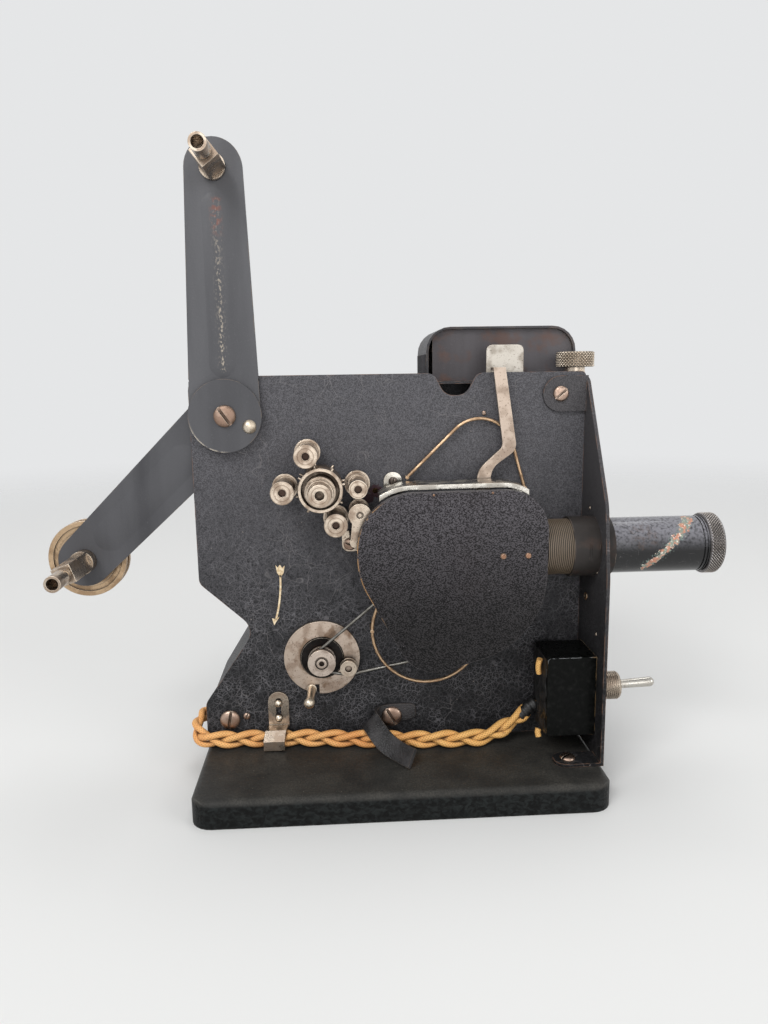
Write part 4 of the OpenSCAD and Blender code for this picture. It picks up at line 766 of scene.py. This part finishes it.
tape = black_tape("friction_tape", rgb(15, 15, 15), rgb(38, 37, 37), 0.5)
rubber = black_tape("rubber", rgb(20, 19, 19), rgb(38, 36, 35), 0.65)
glass = lens_glass()
for look, names in [
    (plate_look, ["main_plate"]), (casing_look, ["rear_casing"]), (panel_look, ["front_plate"]),
    (base_covering(), ["base"]), (upper_arm_enamel(), ["upper_arm"]), (disc_enamel(), ["arm_disc"]),
    (arm_look, ["lower_arm", "shutter", "motor", "main_pulley"]), (lamp_look, ["lamp_house"]),
    (sleeve_look, ["lens_sleeve"]), (rusty_look, ["lamp_house_panels"]), (cover_covering(), ["gate_cover"]),
    (nickel, ["guide_bracket", "film_gate", "cover_posts", "cord_clip", "upper_spindle", "lower_spindle"]),
    (bright_nickel, ["guard_strip", "switch_lever", "beam_mirror"]), (clip_nickel, ["lamp_clip"]),
    (handle_nickel, ["arm_stud", "tension_handle"]), (stud_nickel_look(), ["fixed_studs"]),
    (lever_steel, ["gate_lever"]), (wire_brass, ["loop_wires"]), (black_steel, ["shaft_bushes"]),
    (copper, ["cover_rivets"]), (gear_brass, ["intermediate_gear"]), (brass, ["lamp_socket"]),
    (grey_steel, ["sprocket_gear", "main_shaft"]), (ring_plate(), ["tension_ring"]),
    (turned_metal("motor_pulley", rgb(190, 176, 164), rgb(128, 112, 100), 0.42), ["motor_pulley"]),
    (turned_metal("takeup_pulley", rgb(186, 160, 130), rgb(130, 106, 82), 0.4), ["takeup_pulley"]),
    (turned_metal("tension_idler"), ["tension_idler"]), (barrel_lacquer(), ["lens_barrel"]),
    (bakelite(), ["switch_body"]), (rubber, ["cord_grommets"]), (glass, ["lens_glass", "lamp", "condenser"])
]:
    set_look(look, *names)
for node in ("roller_a", "roller_b", "roller_c", "roller_d", "guide_roller", "sprocket", "sprocket_knob"):
    set_look(turned_metal(node, ringed=0.6), node)


# Plaited lead: three cotton strands that cross each other, from the switch round the plate's foot
LEAD_MIDDLE = 4.4
lead_route = [spot(*at) for at in [
    (SWITCH_LEFT - 0.7, 8.4, 17.6), (SWITCH_LEFT - 2.7, 8.5, 17.4), (PLATE_RIGHT - 26, 9.2, 15),
    (PLATE_RIGHT - 30, 10, 12), (PLATE_RIGHT - 38, 11.6, 7.4), (PLATE_RIGHT - 48, 13, LEAD_MIDDLE),
    (24, 13.4, LEAD_MIDDLE), (8, 12.6, LEAD_MIDDLE), (-8, 11, LEAD_MIDDLE), (-24, 9, LEAD_MIDDLE),
    (-40, 7, LEAD_MIDDLE), (-53.9, 5.8, LEAD_MIDDLE), (-68, 5.4, LEAD_MIDDLE),
    (PLATE_LEFT + 6, 5.2, LEAD_MIDDLE), (PLATE_LEFT - 1, 3.8, LEAD_MIDDLE + 0.3),
    (PLATE_LEFT - 4.2, 0.4, 5.7), (PLATE_LEFT - 5, -4, 7), (PLATE_LEFT - 5, -9.5, 8.2),
    (PLATE_LEFT - 3.4, -13.7, 8.6), (PLATE_LEFT - 1, -14.5, 8.6), (PLATE_LEFT + 1, -14.5, 8.6)
]]
STRAND_R = 1.5
STRAND_SIDES = 10
STRAND_GAP = 0.8 * MM
PLAIT_LENGTH = 38.0
PLAIT_SWING = 2.55
PLAIT_DEPTH = 1.25


def plait(route):
    """Three strands that swing across the route and pass over and under each other."""
    up = Vector((0, 0, 1))
    count = len(route)
    shapes = []
    for strand in range(3):
        path = []
        for i, point in enumerate(route):
            along = (route[min(i + 1, count - 1)] - route[max(i - 1, 0)]).normalized()
            out = along.cross(up).normalized()
            phase = 2 * math.pi * (i * STRAND_GAP / MM / PLAIT_LENGTH + strand / 3)
            tight = min(1.0, 0.35 + min(i, count - 1 - i) * 0.06)
            across = PLAIT_SWING * tight * math.sin(phase)
            depth = PLAIT_DEPTH * math.sin(2 * phase)
            path.append(point + (across * up + depth * out) * MM)
        shapes.append(tube(path, STRAND_R * MM, Vector((0, 0.2, 1)), STRAND_SIDES))
    return shapes


lead_path = even_path(smooth_path(lead_route, 8), STRAND_GAP)
lead_cotton = cotton()
lead = piece("lead_plait", join(*plait(lead_path)), lead_cotton, "chassis", ["plaited_lead"], 80)
strand_map(lead.data, STRAND_SIDES, len(lead_path), STRAND_GAP)

# Tape round the end of the plait
tape_route = [spot(*at) for at in [
    (PLATE_RIGHT - 29.5, 9.9, 12.4), (PLATE_RIGHT - 27, 9.4, 14.4), (PLATE_RIGHT - 24.4, 8.8, 16.6),
    (SWITCH_LEFT - 0.4, 8.4, 17.6)
]]
tape_path = even_path(smooth_path(tape_route, 8), 0.6 * MM)


def tape_radius(share):
    """Thicker towards the switch, with ridges where the tape overlaps."""
    return (2.6 + 0.9 * share + 0.25 * math.sin(23 * share)) * MM


tape_shape = tube(tape_path, tape_radius, Vector((0, 1, 0)), 20)
piece("lead_tape", tape_shape, tape, "chassis")


def creased_tape():
    """Torn tape over the switch's left side, with upright creases."""
    rows = 44
    columns = 36
    rings = []
    for row in range(rows + 1):
        up = SWITCH_FOOT + 0.6 + (SWITCH_TOP - SWITCH_FOOT - 1.6) * row / rows
        outer = []
        inner = []
        for column in range(columns + 1):
            share = column / columns
            out = 5 + (SWITCH_FRONT - 7 + 0.9 * math.sin(up * 0.7)) * share
            crease = math.sin(9 * share + 0.16 * up) * math.sin(0.31 * up + 4 * share)
            lump = 0.7 + 0.5 * crease + 0.25 * math.sin(21 * share - 0.5 * up)
            outer.append(spot(SWITCH_LEFT - lump * math.sin(math.pi * (0.08 + 0.84 * share)) - 0.05, out, up))
            inner.append(spot(SWITCH_LEFT - 0.02, out, up))
        rings.append(outer + inner[::-1])
    return skin(rings)


piece("switch_tape", creased_tape(), tape, "chassis", (), 60)

# Cut ends of the two wires that leave the tape
TAIL_R = 1.35
TAIL_GAP = 0.4 * MM
for name, ends in {
    "lead_tail_upper": [(-1.6, 19, 36.6), (-2.2, 19.6, 40), (-1.8, 20.4, 43.6)],
    "lead_tail_lower": [(-1.7, 20, 11), (-2.1, 20.4, 9.4), (-1.8, 21, 7.6)]
}.items():
    tail = even_path(smooth_path([spot(SWITCH_LEFT + x, out, up) for x, out, up in ends], 8), TAIL_GAP)
    tail_shape = tube(tail, TAIL_R * MM, Vector((0, 1, 0)), STRAND_SIDES)
    wire_end = piece(name, tail_shape, lead_cotton, "chassis")
    strand_map(wire_end.data, STRAND_SIDES, len(tail), TAIL_GAP)

# Leather strap: screwed to the plate, folded over the lead, its tail standing on edge
strap_stations = [
    ((9.2, 1.0, 13.4), (-0.1, 0, 1), 2.2), ((7.0, 1.0, 13.2), (-0.1, 0, 1), 3.6),
    ((-2, 1.0, 12.4), (0.05, 0, 1), 4.4), ((-8, 1.8, 11.8), (0.35, 0, 0.94), 4.5),
    ((-11.4, 5.2, 11.0), (0.72, -0.15, 0.62), 4.5), ((-10, 10.5, 9.6), (0.71, -0.4, 0.55), 4.5),
    ((-5.6, 17, 5.8), (0.72, -0.12, 0.66), 4.5), ((-0.4, 22.6, 4.1), (0.6, 0, 0.8), 4.4),
    ((5.0, 30.6, 4.5), (0.45, -0.2, 0.86), 4.3)
]
STRAP_HALF_T = 0.8
STRAP_SECTION = [
    (-1, -1), (-0.5, -1.08), (0, -1.1), (0.5, -1.08), (1, -1), (1.03, 0),
    (1, 1), (0.5, 1.08), (0, 1.1), (-0.5, 1.08), (-1, 1), (-1.03, 0)
]


def strap_shape():
    """A flat strip whose width turns as it folds."""
    places = smooth_path([spot(*at) for at, turn, half in strap_stations], 8)
    turns = smooth_path([Vector((t[0], -t[1], t[2])) for at, t, half in strap_stations], 8)
    halves = smooth_path([Vector((half, 0, 0)) for at, t, half in strap_stations], 8)
    rings = []
    count = len(places)
    for i, place in enumerate(places):
        along = (places[min(i + 1, count - 1)] - places[max(i - 1, 0)]).normalized()
        across = (turns[i] - along * turns[i].dot(along)).normalized()
        face = along.cross(across)
        half = halves[i].x * MM
        thick = STRAP_HALF_T * MM
        rings.append([place + across * (w * half) + face * (t * thick) for w, t in STRAP_SECTION])
    return skin(rings)


piece("strap", strap_shape(), strap_leather(), "chassis", ["leather_strap"])


# Belt: a closed coil spring round the two pulleys and the idler, at the radius of each one's groove
GROOVE_R = {"motor_pulley": 4.6, "tension_idler": 3.4, "main_pulley": 20.7}
BELT_R = 0.72


def belt_path():
    """The line round the three wheels, taken from the wheels' own places."""
    wheels = [(middle(node).x / MM, middle(node).z / MM, r) for node, r in GROOVE_R.items()]
    def foot(a, b):
        return math.atan2(b[1] - a[1], b[0] - a[0]) - math.acos((a[2] - b[2]) / math.dist(a[:2], b[:2]))
    out = middle("tension_idler").y
    path = []
    for i, wheel in enumerate(wheels):
        start = foot(wheels[i - 1], wheel)
        sweep = (foot(wheel, wheels[(i + 1) % 3]) - start) % (2 * math.pi)
        steps = max(3, round(sweep * wheel[2] / 0.7))
        for s in range(steps + 1):
            a = start + sweep * s / steps
            x = wheel[0] + wheel[2] * math.cos(a)
            z = wheel[1] + wheel[2] * math.sin(a)
            path.append(Vector((x * MM, out, z * MM)))
    return path


belt_turn = belt_path()
belt_line = even_path(belt_turn + belt_turn[:1], 1.0 * MM)[:-1]
belt_shape = tube(belt_line, BELT_R * MM, Vector((0, 1, 0)), 10, True)
piece("belt", belt_shape, spring_wire, "chassis", ["drive_belt"], 80)

# Thumb knob: a stem, a collar and a knurled grip with a shallow dish on top
KNOB_POINTS = 34
STEM_R = 2
COLLAR_R = 4.4
COLLAR_UP = 6.3
GRIP_H = 6.7
DISH_R = 3.2
DISH_DEPTH = 0.4
knob_low, knob_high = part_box("thumb_knob")
knob_middle = middle("thumb_knob")
knob_at = Matrix.Translation(Vector((knob_middle.x, knob_middle.y, 0)))
knob_r = (knob_high.x - knob_low.x) / 2 / MM
knob_top = knob_high.z / MM
knob_foot = knob_low.z / MM
collar_low = knob_foot + COLLAR_UP
grip_low = knob_top - GRIP_H
knob_steps = KNOB_POINTS * KNURL_STEPS
knob_rings = turned_rings([
    (STEM_R, knob_foot), (STEM_R, collar_low), (COLLAR_R, collar_low), (COLLAR_R, grip_low),
    (knob_r - 0.7, grip_low)
], knob_at, knob_steps)
knob_rings += knurl_rings(knob_r, grip_low + 0.4, knob_top - 0.5, KNOB_POINTS, knob_at)
knob_rings += turned_rings([
    (knob_r - 0.8, knob_top), (DISH_R, knob_top), (DISH_R - 0.3, knob_top - DISH_DEPTH),
    (0.2, knob_top - DISH_DEPTH)
], knob_at, knob_steps)
knob_metal = knurled_metal("knob_metal", rgb(244, 228, 208), rgb(196, 176, 152), knob_middle, 2, knob_r)
piece("thumb_knob_knurled", skin(knob_rings), knob_metal, "thumb_knob", ["thumb_knob"], 30)


def lens_wise(node):
    """A place on a node's own axis along the lens, and its radius, back and front in millimetres."""
    low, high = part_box(node)
    at = middle(node)
    place = Matrix.Translation(Vector((0, at.y, at.z))) @ ALONG_LENS
    return place, (high.z - low.z) / 2 / MM, low.x / MM, high.x / MM


# Front ring of the lens: a knurled wall between two rounded rims
RING_POINTS = 62
RING_WALL = 4.3
RING_RIM = 0.9
RIM_STEP = 0.5
ring_at, ring_r, ring_back, ring_front = lens_wise("lens_front_ring")
bore_r = ring_r - RING_WALL
ring_steps = RING_POINTS * KNURL_STEPS
ring_rings = turned_rings([
    (bore_r, ring_front - 2), (bore_r, ring_back), (ring_r - RING_RIM, ring_back),
    (ring_r - RIM_STEP, ring_back + RIM_STEP)
], ring_at, ring_steps)
ring_rings += knurl_rings(ring_r, ring_back + RING_RIM, ring_front - RING_RIM, RING_POINTS, ring_at)
ring_rings += turned_rings([
    (ring_r - RIM_STEP, ring_front - RIM_STEP), (ring_r - RING_RIM, ring_front), (bore_r + 1, ring_front)
], ring_at, ring_steps)
ring_metal = knurled_metal("ring_metal", rgb(176, 173, 175), rgb(118, 114, 114), middle("lens_front_ring"), 0,
    ring_r)
piece("lens_ring_knurled", skin(ring_rings, True), ring_metal, "lens", ["lens_front_ring"], 30)

# Nut of the switch: a flange and a fine thread
NUT_WALL = 1.4
THREAD_ROOT = 1.25
THREAD_CREST = 0.95
THREAD_COUNT = 11
nut_at, nut_r, nut_back, nut_front = lens_wise("switch_nut")
bush_r = nut_r - NUT_WALL
nut_profile = [(bush_r, nut_front), (bush_r, nut_back), (nut_r, nut_back), (nut_r, nut_back + NUT_WALL)]
thread_start = nut_back + 1.6
thread_step = (nut_front - 0.4 - thread_start) / THREAD_COUNT
for turn in range(THREAD_COUNT):
    nut_profile.append((nut_r - THREAD_ROOT, thread_start + turn * thread_step))
    nut_profile.append((nut_r - THREAD_CREST, thread_start + (turn + 0.5) * thread_step))
nut_profile.append((nut_r - THREAD_ROOT, nut_front - 0.3))
nut_profile.append((bush_r + 0.04, nut_front))
nut_shape = lathe(nut_profile, nut_at, True)
piece("switch_nut_threaded", nut_shape, nickel, "chassis", ["switch_nut"], 20)


# Screws with domed, slotted heads
def domed_screw(head_r, head_h, shank_len, place):
    """A round-headed screw along the place's Z axis: a split dome on a disc, and a shank below."""
    floor = head_h * 0.4
    half_slot = head_r * 0.14
    steps = 40
    levels = 8
    flat = Matrix.Identity(4)
    rings = [ring(head_r, 0, flat, steps)]
    for level in range(levels):
        a = math.radians(88) * level / (levels - 1)
        rings.append(ring(head_r * math.cos(a) ** 0.45, head_h * (0.25 + 0.75 * math.sin(a)), flat, steps))
    verts, faces = skin(rings)
    shapes = []
    for side in (1, -1):
        half = bmesh.new()
        points = [half.verts.new(v) for v in verts]
        for face in faces:
            half.faces.new([points[i] for i in face])
        whole = list(half.verts) + list(half.edges) + list(half.faces)
        cut = bmesh.ops.bisect_plane(half, geom=whole, plane_co=(0, side * half_slot * MM, 0),
            plane_no=(0, side, 0), clear_inner=True)
        rim = [part for part in cut["geom_cut"] if isinstance(part, bmesh.types.BMEdge)]
        bmesh.ops.contextual_create(half, geom=rim)
        half.verts.index_update()
        placed = [place @ v.co for v in half.verts]
        shapes.append((placed, [tuple(v.index for v in f.verts) for f in half.faces]))
        half.free()
    disc = lathe([(head_r * 0.985, 0.01), (head_r * 0.985, floor)], place, False, steps)
    shank = lathe([(head_r / 2, -shank_len), (head_r / 2, 0.02)], place, False, 24)
    return join(*shapes, disc, shank)


def plate_place(x, out, up, angle):
    return Matrix.Translation(spot(x, out, up)) @ OUT @ Matrix.Rotation(math.radians(angle), 4, "Z")


def head_height(head_r):
    return 0.5 + head_r * 0.32


def screw_shape(box, turn):
    """The screw for one CAD solid, which faces out from the plate or, on the foot, up."""
    low, high = box
    at = (low + high) / 2
    head_r = (high.x - low.x) / 2 / MM
    head_h = head_height(head_r)
    if high.z - low.z > (high.x - low.x) * 1.05:
        place = Matrix.Translation(Vector((at.x, at.y, high.z - head_h * MM)))
        place = place @ Matrix.Rotation(math.radians(turn), 4, "Z")
        return domed_screw(head_r, head_h, (high.z - low.z) / MM - head_h, place)
    out = (PLATE_FRONT - low.y) / MM - head_h
    place = plate_place(at.x / MM, out, (at.z - BASE_TOP) / MM, turn)
    return domed_screw(head_r, head_h, (high.y - low.y) / MM - head_h, place)


# Degrees by which each slot is turned, from left to right, and the place of the lug's darker screw
SLOT_TURNS = [80, 70, -25, 120, 80, 0, 35, 40]
LUG_SCREW = 4
screws = [screw_shape(box, turn) for box, turn in zip(solids("plate_screws"), SLOT_TURNS)]
lug_screw = screws.pop(LUG_SCREW)
piece("screws_domed", join(*screws), screw_metal, "chassis", ["plate_screws"], 35)
piece("lug_screw", lug_screw, dark_screw, "chassis", ["plate_screws"], 35)

# Pivot of the arms: a large screw head, a rod through the plate and a nut behind it
PIVOT_HEAD_R = 4.7
PIVOT_HEAD_H = 2.2
PIVOT_R = 4
PIVOT_NUT_R = 6
pivot_low, pivot_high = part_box("arm_pivot")
pivot_at = middle("arm_pivot")
pivot_up = (pivot_at.z - BASE_TOP) / MM
pivot_back = (PLATE_FRONT - pivot_high.y) / MM
shoulder = (PLATE_FRONT - pivot_low.y) / MM - PIVOT_HEAD_H
pivot_place = plate_place(pivot_at.x / MM, shoulder, pivot_up, -55)
pivot_screw = domed_screw(PIVOT_HEAD_R, PIVOT_HEAD_H, 3, pivot_place)
pivot_axis = plate_place(pivot_at.x / MM, 0, pivot_up, 0)
pivot_rod = lathe([(PIVOT_R, pivot_back), (PIVOT_R, shoulder)], pivot_axis)
nut_chamfer = [(PIVOT_NUT_R - 0.8, pivot_back), (PIVOT_NUT_R, pivot_back + 0.6)]
pivot_nut = lathe(nut_chamfer + [(PIVOT_NUT_R, pivot_back + 2.4)], pivot_axis)
pivot_shape = join(pivot_screw, pivot_rod, pivot_nut)
piece("pivot_screw", pivot_shape, screw_metal, "chassis", ["arm_pivot"], 35)


# Painted arrow on the plate that shows which way to turn the main pulley
arrow_line = [(-50.9, 79.5), (-51.0, 74), (-51.5, 69), (-52.3, 64), (-53.6, 58.8)]
PAINT_T = 0.06


def painted(outline):
    """A thin patch of paint on the plate's front."""
    rings = [[spot(x, out, up) for x, up in outline] for out in (0.005, PAINT_T)]
    return skin(rings)


def arrow_shapes():
    path = smooth_path([Vector((x, up, 0)) for x, up in arrow_line], 6)
    left = []
    right = []
    for i, point in enumerate(path):
        along = (path[min(i + 1, len(path) - 1)] - path[max(i - 1, 0)]).normalized()
        side = Vector((-along.y, along.x, 0)) * 0.42
        left.append(((point + side).x, (point + side).y))
        right.append(((point - side).x, (point - side).y))
    tip = [(-54.5, 56.2), (-55.4, 59.6), (-53.7, 59.0), (-51.9, 60.2)]
    fletching = [(-50.9, 78.4), (-52.3, 80.6), (-52.9, 84.2), (-51.9, 83.0), (-50.9, 84.3), (-49.9, 82.8),
        (-48.8, 83.9), (-49.4, 80.4)]
    return join(painted(left + right[::-1]), painted(tip), painted(fletching))


piece("arrow", arrow_shapes(), cream_paint(), "chassis")


# Small brass and copper trim: nails in the cover's edge, rivets and an eyelet in the front plate
def dome_head(r, h, place):
    profile = [(r, 0)] + [(r * math.cos(a), h * math.sin(a)) for a in (0.4, 0.8, 1.2, 1.5)]
    return lathe(profile, place, False, 20)


def inner_face(out, up):
    return Matrix.Translation(spot(PLATE_RIGHT, out, up)) @ Matrix.Rotation(math.radians(-90), 4, "Y")


nails = [dome_head(0.55, 0.3, plate_place(x, COVER_OUT, up, 0)) for x, up in [(15.0, 118.4), (39.3, 118.8)]]
piece("cover_nails", join(*nails), copper, "gate_cover")
rivets = [dome_head(0.9, 0.5, inner_face(out, up)) for out, up in [(11.1, 108.5), (23.1, 82.8), (24.5, 55.6)]]
piece("front_plate_rivets", join(*rivets), nickel, "chassis")
eyelet = lathe([(1.0, 0), (1.0, 0.5), (1.6, 0.5), (1.9, 0.2), (1.9, 0)], inner_face(9.5, 68.3), True, 32)
piece("front_plate_eyelet", eyelet, brass, "chassis")


# Floor, light and camera
AMBIENT = 0.38
BACKDROP = 0.8
LAMPS = [
    ("key", (-0.8, -1.3, 1.5), 0.9, 19.0), ("fill", (1.4, -1.0, 0.7), 0.9, 7.0),
    ("front", (0.1, -1.9, 0.5), 1.3, 10.0), ("top", (0.1, 0.4, 1.7), 1.2, 10.0)
]
LIT = Vector((0, 0, 0.12))
CAMERA_AT = Vector((-0.022516, -0.347921, 0.179175))
CAMERA_TURN = (3.132, 10.049, -0.858)
SENSOR = 36
PHOTO_HEIGHT = 1024
FOCAL_PIXELS = 775


def floor_paint():
    """Pale floor that fades into the background further away."""
    look = Look("floor", (0.8, 0.8, 0.79, 1), 0.9)
    away = look.vector("LENGTH", look.place)
    clear = look.node("ShaderNodeBsdfTransparent").outputs[0]
    sockets = {0: look.ramp(away, 0.35, 1.5), 1: look.shader.outputs[0], 2: clear}
    fade = look.node("ShaderNodeMixShader", sockets)
    look.feed(look.tree.nodes["Material Output"].inputs["Surface"], fade.outputs[0])
    return look.material


def studio():
    reach = 2.0
    corners = [(-reach, -reach, 0), (reach, -reach, 0), (reach, reach, 0), (-reach, reach, 0)]
    floor = bpy.data.meshes.new("floor")
    floor.from_pydata(corners, [], [(0, 1, 2, 3)])
    floor.materials.append(floor_paint())
    ground = bpy.data.objects.new("floor", floor)
    bpy.context.scene.collection.objects.link(ground)
    world = bpy.data.worlds.new("studio")
    world.use_nodes = True
    bpy.context.scene.world = world
    tree = world.node_tree
    path = tree.nodes.new("ShaderNodeLightPath")
    seen = path.outputs["Is Camera Ray"]
    for other in ("Is Glossy Ray", "Is Transmission Ray"):
        either = tree.nodes.new("ShaderNodeMath")
        either.operation = "MAXIMUM"
        tree.links.new(seen, either.inputs[0])
        tree.links.new(path.outputs[other], either.inputs[1])
        seen = either.outputs[0]
    level = tree.nodes.new("ShaderNodeMapRange")
    tree.links.new(seen, level.inputs["Value"])
    level.inputs["To Min"].default_value = AMBIENT
    level.inputs["To Max"].default_value = BACKDROP
    tree.links.new(level.outputs["Result"], tree.nodes["Background"].inputs["Strength"])
    tree.nodes["Background"].inputs["Color"].default_value = (0.98, 0.99, 1.0, 1)
    for name, place, size, power in LAMPS:
        lamp = bpy.data.lights.new(name, "AREA")
        lamp.energy = power
        lamp.size = size
        holder = bpy.data.objects.new(name, lamp)
        holder.location = place
        holder.rotation_euler = (LIT - Vector(place)).to_track_quat("-Z", "Y").to_euler()
        bpy.context.scene.collection.objects.link(holder)


def camera():
    """The photo's viewpoint; the turn is heading, pitch and roll in degrees."""
    heading, pitch, roll = (math.radians(a) for a in CAMERA_TURN)
    flat = math.cos(pitch)
    forward = Vector((math.sin(heading) * flat, math.cos(heading) * flat, -math.sin(pitch)))
    level = Vector((math.cos(heading), -math.sin(heading), 0))
    upright = level.cross(forward)
    right = level * math.cos(roll) + upright * math.sin(roll)
    up = upright * math.cos(roll) - level * math.sin(roll)
    lens = bpy.data.cameras.new("camera")
    lens.sensor_width = SENSOR
    lens.lens = SENSOR * FOCAL_PIXELS / PHOTO_HEIGHT
    lens.clip_start = 0.01
    holder = bpy.data.objects.new("camera", lens)
    turn = Matrix((right, up, -forward)).transposed().to_4x4()
    holder.matrix_world = Matrix.Translation(CAMERA_AT) @ turn
    bpy.context.scene.collection.objects.link(holder)
    bpy.context.scene.camera = holder


studio()
camera()
bpy.context.scene.view_settings.view_transform = "Standard"
